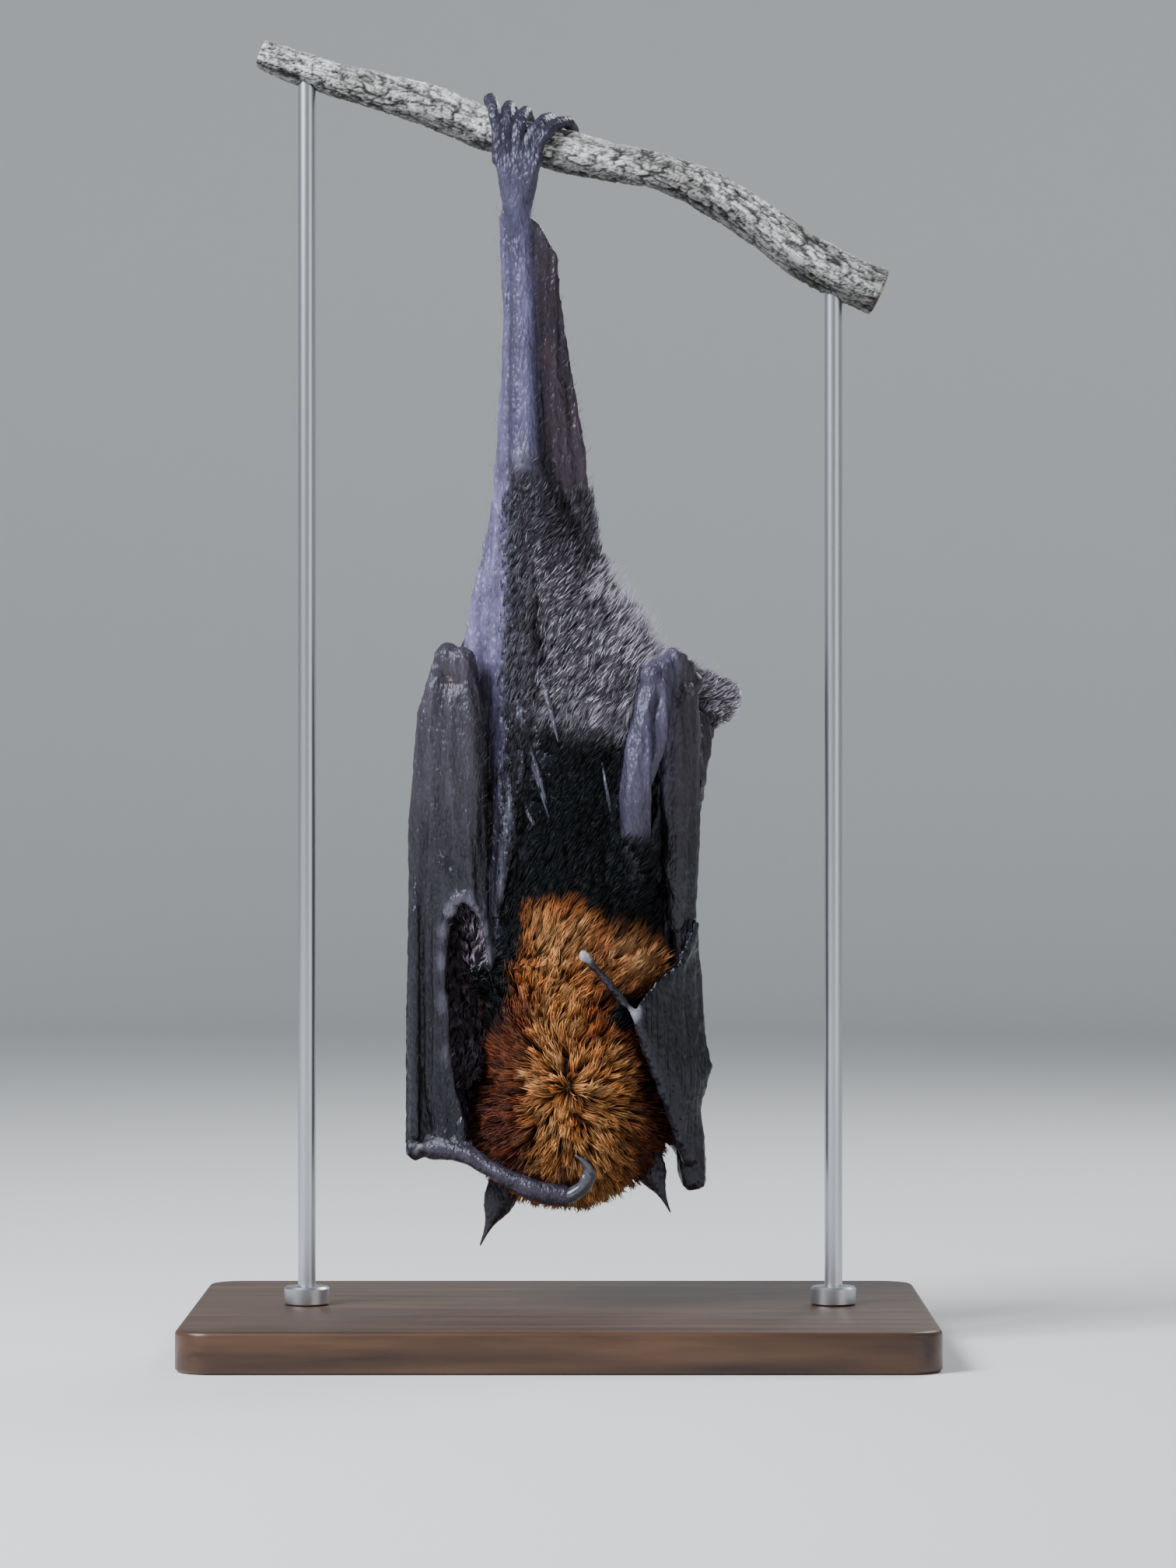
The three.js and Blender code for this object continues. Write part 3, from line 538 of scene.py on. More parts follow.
@dataclass(frozen=True)
class HideFinish:
    """Bare skin: dark, finely creased, with a satin shine, paler on the tops of its pebbles as painted
    highlight and darker in the cracks between them as painted shade.
    """

    roughness: float = 0.36
    crease: float = 0.5
    pebble: float = 0.42
    wrinkle: float = 0.9
    mottle_scale: Point = (160.0, 160.0, 70.0)
    pebble_scale: Point = (820.0, 820.0, 420.0)
    crease_scale: Point = (900.0, 900.0, 130.0)
    lean: float = 0.75
    mottle: Stops = ((0.28, (0.62, 0.6, 0.6)), (0.72, (1.3, 1.27, 1.27)))
    # speck: painted highlight on the pebble tops and painted shade in the cracks between them
    speck: Stops = ((0.05, (1.25, 1.22, 1.22)), (0.5, (0.74, 0.74, 0.78)))

    def material(self) -> bpy.types.Material:
        """Returns the skin's material."""
        wiring = Wiring("bat_hide")
        marking = wiring.marking()
        colour = wiring.darkened(marking, wiring.ramp(wiring.grain(self.mottle_scale, 5), self.mottle))
        place = wiring.add("ShaderNodeTexCoord")
        turn = wiring.add("ShaderNodeMapping")
        turn.inputs["Scale"].default_value = self.pebble_scale
        turn.inputs["Rotation"].default_value = (0.0, self.lean, 0.0)
        wiring.link(place.outputs["Object"], turn.inputs["Vector"])
        grains = wiring.add("ShaderNodeTexVoronoi", feature="SMOOTH_F1")
        grains.inputs["Scale"].default_value = 1.0
        grains.inputs["Smoothness"].default_value = 0.6
        wiring.link(turn.outputs["Vector"], grains.inputs["Vector"])
        # Painted highlight and shade: the colour follows the same cells that the pebble bump raises, paler on
        # their tops and darker between them.
        speck = wiring.ramp(grains.outputs["Distance"], self.speck)
        wiring.link(wiring.darkened(colour, speck, 0.8), wiring.shader.inputs["Base Color"])
        pebbles = wiring.bump(grains.outputs["Distance"], -self.pebble, 0.9)
        slant = wiring.add("ShaderNodeTexNoise")
        slant.inputs["Scale"].default_value = 0.42
        slant.inputs["Detail"].default_value = 3.0
        wiring.link(turn.outputs["Vector"], slant.inputs["Vector"])
        wrinkles = wiring.bump(slant.outputs["Fac"], self.wrinkle, 0.8, pebbles)
        lines = wiring.bump(wiring.grain(self.crease_scale, 4, 0.65), self.crease, 0.7, wrinkles)
        wiring.link(lines, wiring.shader.inputs["Normal"])
        wiring.set(Roughness=self.roughness, Specular_IOR_Level=0.5, Specular_Tint=(0.86, 0.87, 1.0, 1.0))
        return wiring.material


@dataclass(frozen=True)
class HornFinish:
    """Claws: dark polished horn, streaked along its length."""

    colour: Colour = (0.06, 0.062, 0.075)

    def material(self) -> bpy.types.Material:
        """Returns the horn's material."""
        wiring = Wiring("claw_horn")
        dark, pale = (tuple(c * k for c in self.colour) for k in (0.6, 1.5))
        streaks = wiring.ramp(wiring.grain((500, 500, 900), 3), ((0.3, dark), (0.7, pale)))
        wiring.link(streaks, wiring.shader.inputs["Base Color"])
        wiring.set(Roughness=0.3, Specular_IOR_Level=0.5, Coat_Weight=0.3, Coat_Roughness=0.2)
        return wiring.material


@dataclass(frozen=True)
class EyeFinish:
    """Eyes: a dark amber iris round a wide pupil, painted on the ball, under a wet coat."""

    def material(self) -> bpy.types.Material:
        """Returns the eye's material."""
        wiring = Wiring("eye_wet")
        wiring.link(wiring.marking(), wiring.shader.inputs["Base Color"])
        wiring.set(Roughness=0.12, Specular_IOR_Level=0.6, Coat_Weight=1.0, Coat_Roughness=0.03)
        return wiring.material


@dataclass(frozen=True)
class BarkFinish:
    """Bark: pale grey cork, dark in its cracks."""

    speck: Stops = ((0.3, (0.5, 0.48, 0.46)), (0.62, (1.15, 1.14, 1.12)))

    def material(self) -> bpy.types.Material:
        """Returns the bark's material."""
        wiring = Wiring("perch_bark")
        marking = wiring.marking()
        speck = wiring.ramp(wiring.grain((900, 1500, 1500), 6, 0.7), self.speck)
        wiring.link(wiring.darkened(marking, speck), wiring.shader.inputs["Base Color"])
        grit = wiring.bump(wiring.grain((700, 1300, 1300), 6, 0.7), 0.8, 0.9)
        wiring.link(grit, wiring.shader.inputs["Normal"])
        wiring.set(Roughness=0.92, Specular_IOR_Level=0.2)
        return wiring.material


@dataclass(frozen=True)
class WoodFinish:
    """The base's dark satin wood."""

    tones: Stops = (
        (0.3, (0.030, 0.014, 0.008)), (0.55, (0.075, 0.036, 0.018)), (0.75, (0.12, 0.060, 0.030)),
    )

    def material(self) -> bpy.types.Material:
        """Returns the wood's material."""
        wiring = Wiring("base_wood")
        grain = wiring.grain((9, 120, 120), 6, 0.55)
        wiring.link(wiring.ramp(grain, self.tones), wiring.shader.inputs["Base Color"])
        wiring.link(wiring.bump(grain, 0.15, 0.3), wiring.shader.inputs["Normal"])
        wiring.set(Roughness=0.42, Specular_IOR_Level=0.4, Coat_Weight=0.15, Coat_Roughness=0.3)
        return wiring.material


@dataclass(frozen=True)
class SteelFinish:
    """The rods' satin steel."""

    def material(self) -> bpy.types.Material:
        """Returns the steel's material."""
        wiring = Wiring("rod_steel")
        wiring.set(Base_Color=(0.55, 0.56, 0.58, 1.0), Metallic=1.0, Roughness=0.33)
        brushing = wiring.bump(wiring.grain((3000, 3000, 60), 3), 0.02, 0.4)
        wiring.link(brushing, wiring.shader.inputs["Normal"])
        return wiring.material


@dataclass(frozen=True)
class PlainFinish:
    """The studio's matt floor and backdrop."""

    colour: Colour = (0.80, 0.80, 0.78)

    def material(self) -> bpy.types.Material:
        """Returns the floor's material."""
        wiring = Wiring("studio_matt")
        wiring.set(Base_Color=(*self.colour, 1.0), Roughness=0.9, Specular_IOR_Level=0.1)
        return wiring.material


class Finish(Enum):
    """The finishes in the scene."""

    COAT = CoatFinish()
    HIDE = HideFinish()
    HORN = HornFinish()
    EYE = EyeFinish()
    BARK = BarkFinish()
    WOOD = WoodFinish()
    STEEL = SteelFinish()
    STUDIO = PlainFinish()


class Dresser:
    """Gives finished pieces their material, slot and place in the part."""

    def __init__(self) -> None:
        """Starts with no material made yet."""
        self.made: dict[Finish, bpy.types.Material] = {}

    def material(self, finish: Finish) -> bpy.types.Material:
        """Returns a finish's material, made once."""
        if finish not in self.made:
            self.made[finish] = finish.value.material()
        return self.made[finish]

    def dress(
        self, piece: bpy.types.Object, finish: Finish, nodes: tuple[str, ...] = ()
    ) -> bpy.types.Object:
        """Finishes a piece of the part.

        Args:
            piece: the piece, already in place.
            finish: how its surface looks.
            nodes: the solids that it stands for.

        Returns:
            The same piece.
        """
        piece.data.materials.clear()
        piece.data.materials.append(self.material(finish))
        if nodes:
            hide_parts(*nodes)
        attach(piece, "root")
        LOG.info("%s: %d triangles", piece.name, sum(len(p.vertices) - 2 for p in piece.data.polygons))
        return piece


# ---------- the body's plan ----------
COATED = ("head", "neck", "chest", "belly", "rump", "right_thigh", "left_thigh", "left_shank")
SIDES = ("right", "left")
FINGERS = tuple(f"finger_{number}" for number in range(2, 6))
WEBS = ("arm_web", "hand_web", "flank_web", "side_web")
ARM = ("upper_arm", "forearm", "thumb", *FINGERS, *WEBS)
WINGS = (*(f"{side}_{part}" for side in SIDES for part in ARM), "left_open_web", "tail_web", "right_calcar")
TOES = tuple(f"{side}_toe_{number}" for side in SIDES for number in range(1, 6))
FEET = ("right_shank", "right_foot", "left_foot", *TOES)
EARS = ("ear_right", "ear_left")
FLESH = COATED + WINGS + FEET + EARS + ("nose",)


@dataclass(frozen=True)
class Skull:
    """The head's place and its own directions: it hangs crown down, pitched and rolled a little.

    Attributes:
        pitch: how far the muzzle points down, in degrees.
        roll: how far the head leans to one side, in degrees.
        ceiling: the height that the head stays under.
        eye: how far ahead, to the side and above the middle an eye lies.
        eye_length: half the length of an eye's opening.
        eye_height: half its height in the middle.
        eye_reach: how far from an eye its lids go.
        mouth: how far above the middle the mouth's line ends in front.
    """

    centre: Point = (3.6, -3.0, 88.8)
    pitch: float = 13.0
    roll: float = 10.0
    ceiling: float = 118.0
    eye: Point = (25.5, 15.8, 2.5)
    eye_length: float = 4.9
    eye_height: float = 4.0
    eye_reach: float = 15.0
    mouth: float = -13.0

    def axes(self) -> Array:
        """Returns unit vectors forward along the muzzle, to the bat's right and up to the crown, as rows."""
        pitch, roll = math.radians(self.pitch), math.radians(self.roll)
        forward = np.array([0.0, math.cos(pitch), -math.sin(pitch)])
        crown = np.array([0.0, -math.sin(pitch), -math.cos(pitch)])
        right = np.array([-1.0, 0.0, 0.0])
        turned = right * math.cos(roll) + crown * math.sin(roll)
        return np.array([forward, turned, crown * math.cos(roll) - right * math.sin(roll)])

    def local(self, points: Array) -> Array:
        """Returns places as distances ahead, right and above the middle of the skull."""
        return (points - np.array(self.centre)) @ self.axes().T

    def place(self, ahead: float, right: float, above: float) -> Array:
        """Returns the place that lies so far ahead, right and above."""
        return np.array(self.centre) + np.array([ahead, right, above]) @ self.axes()

    def under_ceiling(self, points: Array) -> Array:
        """Says which places are low enough to be on the head."""
        return points[:, 2] < self.ceiling

    def gaze(self, side: float) -> tuple[Array, Array, Array]:
        """Works out where an eye is and how it is turned.

        Args:
            side: 1 for the right eye, -1 for the left one.

        Returns:
            The eye's middle, the way it looks and the direction along its opening.
        """
        out, along = np.array([[0.74, side, 0.14], [1.0, -0.74 * side, 0.0]]) @ self.axes()
        ahead, right, above = self.eye
        return self.place(ahead, side * right, above), unit(out), unit(along)

    def opening(self, points: Array) -> Array:
        """Works out how far places lie from the nearer eye's opening.

        Args:
            points: the places.

        Returns:
            0 in the middle of the opening, 1 at the edge of the lids and 9 far from both eyes.
        """
        best = np.full(len(points), 9.0)
        for side in (1.0, -1.0):
            centre, out, along = self.gaze(side)
            arm = points - centre
            length = arm @ along / self.eye_length
            height = arm @ np.cross(out, along) / np.maximum(self.eye_height - 0.9 * np.abs(length), 1.0)
            seen = (arm @ out > 0) & (np.linalg.norm(arm, axis=1) < self.eye_reach)
            best = np.where(seen, np.minimum(best, np.hypot(length, height)), best)
        return best

    def lips(self, points: Array) -> Array:
        """Works out how near places are to the line of the closed mouth.

        Args:
            points: the places.

        Returns:
            1 on the line, falling to 0 beside it.
        """
        ahead, _, above = self.local(points).T
        line = bell(above - 0.10 * (60 - ahead), self.mouth, 0.9)
        return line * smooth_step(33.0, 37.0, ahead) * self.under_ceiling(points)


SKULL = Skull()


class Solids:
    """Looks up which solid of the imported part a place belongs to."""

    def __init__(self, names: tuple[str, ...]) -> None:
        """Makes a search tree over the named solids."""
        self.names = names
        shapes = [Shape.of_node(name) for name in names]
        self.owner = np.concatenate([np.full(len(s.faces), i) for i, s in enumerate(shapes)])
        whole = Shape.joined(shapes)
        self.tree = BVHTree.FromPolygons(whole.points.tolist(), whole.faces.tolist())

    def of(self, points: Array) -> Array:
        """Returns the number of the nearest solid for each place."""
        found = [self.tree.find_nearest(Vector(p))[2] for p in points]
        return self.owner[np.array(found)]

    def distance(self, points: Array) -> Array:
        """Returns how far each place is from the solids."""
        return np.array([self.tree.find_nearest(Vector(p))[3] for p in points])

    def back_at(self, x: float, z: float) -> float:
        """Finds the surface that shows from behind.

        Args:
            x: how far across it is.
            z: its height.

        Returns:
            Its y, or 0 where there is nothing.
        """
        hit = self.tree.ray_cast(Vector((x, -200.0, z)), Vector((0.0, 1.0, 0.0)))[0]
        return hit.y if hit else 0.0


KNEE = np.array([67.5, 43.0, 254.0])
WHORL = np.array([4.0, -33.0, 101.0])
ARCH_LINE = (
    (-41.0, 100.0), (-43.9, 116.0), (-45.4, 136.0), (-46.0, 152.0), (-45.2, 164.0), (-42.6, 172.6),
    (-39.2, 177.0), (-35.4, 176.6), (-31.8, 172.4), (-29.0, 165.0), (-27.4, 155.0), (-26.6, 144.0),
)


@dataclass(frozen=True)
class Growth:
    """How the coat of one part of the body grows.

    Attributes:
        depth: how far the skin lies under the solid.
        length: the locks' length.
        width: the locks' width.
        crowd: how many locks grow on a square millimetre.
        lift: how far they stand up from the skin, in degrees.
        tuft: how many locks make a tuft.
        sway: how far they stray from the way the coat lies.
    """

    depth: float
    length: float
    width: float
    crowd: float
    lift: float
    tuft: int
    sway: float


GROWTH: dict[str, Growth] = {
    "head": Growth(7.0, 11.5, 0.60, 2.1, 42.0, 15, 0.75),
    "neck": Growth(6.5, 12.0, 0.60, 2.0, 34.0, 13, 0.6),
    "chest": Growth(3.4, 9.5, 0.44, 1.5, 13.0, 8, 0.34),
    "belly": Growth(2.8, 8.5, 0.38, 1.7, 12.0, 8, 0.34),
    "rump": Growth(3.6, 7.5, 0.27, 3.2, 27.0, 7, 0.42),
    "right_thigh": Growth(2.2, 5.5, 0.24, 2.8, 20.0, 6, 0.36),
    "left_thigh": Growth(2.2, 5.5, 0.28, 2.5, 26.0, 7, 0.45),
    "left_shank": Growth(1.2, 4.2, 0.27, 2.3, 26.0, 7, 0.45),
    "crook": Growth(0.0, 6.5, 0.42, 1.3, 34.0, 8, 0.6),
    "margin": Growth(0.0, 6.0, 0.28, 2.3, 15.0, 6, 0.3),
    "guard": Growth(0.0, 4.8, 0.15, 0.06, 30.0, 1, 0.5),
}


class Markings:
    """The colours of coat and skin, as functions of the place on the body.

    Attributes:
        tints: how much redder, greener and bluer the bare skin of a part is, by a piece of its name; the pale
            violet of the shank, the foot and the left upper arm is painted light from the sky on the skin's
            own colour, and the near-black of the open web is painted shade.
        spots: knuckles and hollows of the skin: place, outer and inner reach, colour and strength; the pale
            spot on the right knee is a painted highlight, and the dark spots in the hollow under it and in
            the right elbow's hollow are painted shade, the elbow's dark red partly the skin's own colour.
    """

    gold = np.array([0.52, 0.25, 0.086])
    straw = np.array([0.62, 0.34, 0.16])
    russet = np.array([0.31, 0.094, 0.024])
    maroon = np.array([0.105, 0.028, 0.011])
    black = np.array([0.005, 0.0065, 0.008])
    grizzle = np.array([0.27, 0.25, 0.295])
    sable = np.array([0.040, 0.026, 0.020])
    # plum: fur in the crook of the right arm; its paleness is partly its own colour and partly painted light
    # in that shaded hollow
    plum = np.array([0.33, 0.265, 0.32])
    hide = np.array([0.040, 0.034, 0.044])
    # painted highlight along the crests of the folds on the back
    seam = np.array([0.085, 0.085, 0.11])
    lid = np.array([0.022, 0.017, 0.018])
    # arch: painted highlight along the rim of the arch over the right crook
    arch = np.array([0.105, 0.10, 0.125])
    # knee: painted highlight on the bare upper side of the left knee
    knee = np.array([0.17, 0.17, 0.215])
    # The pale violet tints of foot, shank and left upper arm carry painted sky light; the open web's
    # near-black is painted shade.
    tints: tuple[tuple[str, Colour], ...] = (
        ("ear_", (0.55, 0.5, 0.5)), ("nose", (0.5, 0.45, 0.5)), ("toe", (0.8, 0.82, 1.06)),
        ("thumb", (1.2, 1.15, 1.25)), ("finger_2", (1.3, 1.3, 1.4)), ("open_web", (0.05, 0.05, 0.045)),
        ("foot", (1.6, 1.65, 2.2)), ("side_web", (0.5, 0.4, 0.42)), ("left_hand_web", (0.4, 0.38, 0.36)),
        ("left_forearm", (0.75, 0.68, 0.66)), ("shank", (2.6, 2.7, 3.8)), ("tail_web", (0.62, 0.5, 0.52)),
        ("left_upper_arm", (1.5, 1.52, 1.9)), ("right_thigh", (1.25, 1.2, 1.4)),
    )
    spots: tuple[tuple[Point, float, float, Colour, float], ...] = (
        # painted highlight on the right knee's knob
        ((-14.6, -17.0, 350.0), 6.0, 2.5, (0.15, 0.15, 0.21), 1.0),
        # painted shade in the hollow under the right knee
        ((-13.4, -18.0, 339.0), 6.0, 2.0, (0.012, 0.010, 0.012), 1.0),
        ((28.8, -35.6, 133.0), 4.2, 1.8, (0.42, 0.42, 0.47), 1.0),
        ((9.4, -44.2, 155.6), 4.2, 1.8, (0.42, 0.42, 0.47), 1.0),
        ((-54.6, -17.4, 79.6), 2.6, 1.0, (0.30, 0.29, 0.30), 0.7),
        # dark red in the right elbow's hollow: partly the skin's own colour, partly painted shade
        ((-43.6, -21.0, 262.0), 5.5, 1.5, (0.030, 0.016, 0.018), 1.0),
    )

    def mantle_edge(self, points: Array) -> Array:
        """Works out how far inside the golden mantle places lie.

        Args:
            points: the places.

        Returns:
            The distance to the mantle's edge, negative outside it.
        """
        x, y, z = points.T
        wobble = 2.6 * cloud(points, 9.0, 31)
        column = np.minimum(15.2 - np.abs(x + 1.8), 172.5 - z - 0.02 * (x + 3) ** 2)
        lobe = 15.0 * (1 - np.hypot((x - 23.5) / 15.0, (z - 149.0) / 14.5))
        hood = 122.0 - z - 0.25 * np.maximum(0, -x - 18)
        behind = np.maximum(np.maximum(column, lobe), hood)
        before = 0.35 * (160.0 - z - 0.010 * (x - 2) ** 2) + 4.5 * cloud(points, 13.0, 33)
        share = smooth_step(-4.0, 10.0, y)
        return behind * (1 - share) + before * share + wobble

    def coat(self, points: Array) -> Array:
        """Colours the coat.

        Args:
            points: where the hair grows.

        Returns:
            The colour at the tips of the hair, for each place.
        """
        x, y, z = points.T
        ahead = SKULL.local(points)[:, 0]
        edge = self.mantle_edge(points)
        mantle = smooth_step(-2.0, 3.0, edge)
        rich = smooth_step(1.0, 13.0, edge - 0.55 * np.maximum(0, np.abs(x - 4) - 13) * (z < 128))
        under = smooth_step(4.0, 22.0, y)
        warm = mixed(self.russet, self.gold, np.clip(rich + 0.25 * cloud(points, 7.0, 5), 0, 1))
        wisp = bell(np.hypot(x - 25.0, z - 148.0), 0.0, 13.0) * smooth_step(6.0, -4.0, y)
        warm = mixed(warm, self.straw, 0.6 * wisp)
        # Maroon at both sides of the head and neck: partly the fur's own darker colour, partly painted shade
        # where the head turns away from the light.
        left = smooth_step(0.0, -11.0, x + 2.5 * cloud(points, 6.0, 15)) * smooth_step(142.0, 122.0, z)
        right = smooth_step(15.0, 25.0, x + 2.5 * cloud(points, 6.0, 16)) * smooth_step(136.0, 122.0, z)
        maroon_and_shade = np.clip(left + 0.95 * right, 0, 1) * smooth_step(58.0, 74.0, z + 0.3 * x)
        warm = mixed(warm, self.maroon, maroon_and_shade * (1 - 0.6 * under))
        warm = mixed(warm, self.russet * 0.8, under * (z > 112))
        face = smooth_step(14.0, 34.0, ahead) * smooth_step(128.0, 112.0, z)
        warm = mixed(warm, self.sable, face * 0.9)
        rump = smooth_step(232.0, 246.0, z + 0.25 * x + 4 * cloud(points, 12.0, 8))
        body = mixed(self.black, self.grizzle, rump * (1 - 0.5 * under))
        body = mixed(body, self.sable, under * 0.7)
        return mixed(body, warm, mantle)

    def bare(self, points: Array, names: Array) -> Array:
        """Colours the skin where no coat grows, with painted light and shade on the wings, the shank, the
        flank web, the arch's rim, the knees and the elbow.

        Args:
            points: places on the skin.
            names: the solids that they belong to.

        Returns:
            A colour for each place.
        """
        x, y, z = points.T
        colours = np.tile(self.hide, (len(points), 1))
        colours *= (1 + 0.24 * cloud(points, (9.0, 9.0, 22.0), 77))[:, None]
        wing = np.isin(names, WINGS)
        hand = wing & (np.char.find(names, "thumb") < 0) & (np.char.find(names, "flank_web") < 0)
        # Painted shade: the hand and arm webs are brightest near the elbows and darken down towards the wing
        # tips, away from the light from above.
        wing_shade = 0.2 + 0.13 * smooth_step(95.0, 165.0, z) + 0.92 * smooth_step(172.0, 272.0, z)
        colours[hand] *= wing_shade[hand, None]
        # Painted light and shade on the folds: the same fold patterns that creased() raises make the wings
        # paler on the crests and darker in the troughs.
        lines = 0.5 * folds(points, (3.6, 3.6, 80.0), 11) + 0.5 * folds(points, (2.4, 2.4, 66.0), 17)
        colours *= np.where(wing, 0.45 + 1.15 * lines, 1.0)[:, None]
        # Part tints, with painted sky light on the shank, foot and left upper arm and painted shade on the
        # open web.
        for part, tint in self.tints:
            colours[np.char.find(names, part) >= 0] *= np.array(tint)
        # Painted highlight: a pale stripe down the right shank at x = -13 mm, with its sides darkened to
        # half.
        shank = names == "right_shank"
        colours[shank] *= (0.5 + 1.0 * bell(x[shank], -13.0, 2.8))[:, None]
        tail = names == "tail_web"
        streaks = np.exp(0.75 * cloud(points[tail], (2.2, 6.0, 34.0), 83, 2))
        colours[tail] *= streaks[:, None] * np.array([1.06, 0.94, 0.96])
        # Painted highlight: a pale violet-grey band along the near side of the rim of the arch over the right
        # crook.
        crest = np.array(ARCH_LINE)
        rim = np.min(np.hypot(x[:, None] - crest[None, :, 0], z[:, None] - crest[None, :, 1]), axis=1)
        lip = smooth_step(4.2, 1.6, rim) * (y < -13.5) * smooth_step(95.0, 125.0, z)
        colours = mixed(colours, self.arch, lip * 0.85)
        # Painted light and shade on the right flank web: it is paler and bluer higher up and darker lower
        # down, and its inner strip, under a fringe of hair, is nearly black as painted shade.
        sheet = names == "right_flank_web"
        lit = 0.16 + 1.0 * smooth_step(206.0, 248.0, z) + 1.35 * smooth_step(250.0, 288.0, z)
        lit = lit - 0.5 * smooth_step(320.0, 350.0, z)
        lit = lit * np.exp(0.45 * cloud(points, (1.8, 4.0, 30.0), 97, 2))
        inner = smooth_step(-23.0, -18.0, x) * smooth_step(345.0, 330.0, z)
        colours[sheet] *= (lit * (1 - 0.93 * inner))[sheet, None] * np.array([1.42, 1.45, 1.95])
        # Painted shade: the left upper arm darkens towards its lower end, where it sinks into the shade
        # beside the body.
        arm = names == "left_upper_arm"
        colours[arm] *= (0.12 + 0.88 * smooth_step(182.0, 206.0, z[arm]))[:, None]
        for place, outer, inner, colour, share in self.spots:
            colours = mixed(colours, colour, share * near(points, place, outer, inner))
        # Painted highlight: the bare upper side of the left knee is pale bluish grey, mottled.
        mottled_knee_highlight = self.knee * (1 + 0.5 * cloud(points, (4.0, 4.0, 7.0), 93))[:, None]
        return mixed(colours, mottled_knee_highlight, near(points, KNEE, 12.5, 8.0) * smooth_step(-14.0, -2.0, z - KNEE[2]))


MARKINGS = Markings()


def lie_of(points: Array, normals: Array, kinds: Array) -> Array:
    """Which way the coat lies.

    Args:
        points: the roots.
        normals: the skin's outward normals there.
        kinds: the growths that the roots belong to.

    Returns:
        A unit vector along the skin for each root.
    """
    _, y, z = points.T
    flow = np.tile([0.62, 0.0, 0.80], (len(points), 1))
    flow[:, 0] *= smooth_step(14.0, -6.0, y)
    hood = smooth_step(136.0, 112.0, z)[:, None]
    flow = flow + (unit(points - WHORL) - flow) * hood
    ahead = SKULL.local(points)[:, 0]
    muzzle = smooth_step(10.0, 24.0, ahead)[:, None] * (z < 125)[:, None]
    back = -SKULL.axes()[0] - 0.35 * SKULL.axes()[2]
    flow = flow + (back - flow) * muzzle
    flow[np.char.find(kinds, "left_") == 0] = [0.75, 0.15, 0.65]
    flow[kinds == "crook"] = [0.35, -0.1, 0.9]
    flow[kinds == "margin"] = [0.45, -0.1, 0.9]
    flow[kinds == "guard"] = [0.5, 0.0, 0.8]
    sway = np.stack([cloud(points, 5.0, seed, 2) for seed in (41, 43, 47)], axis=1)
    much = np.array([GROWTH[kind].sway for kind in kinds])
    core = glow(points, WHORL, 4.6)[:, None]
    flow = flow + (np.array([0.35, 0.0, -0.9]) - flow) * core * hood
    swirl = glow(points, WHORL, 13.0)[:, None] * (1 - core)
    round_it = np.cross(normals, unit(points - WHORL))
    flow = flow + (much[:, None] + 0.5 * swirl) * sway + 0.85 * swirl * round_it
    return unit(flow - normals * (flow * normals).sum(axis=1, keepdims=True))


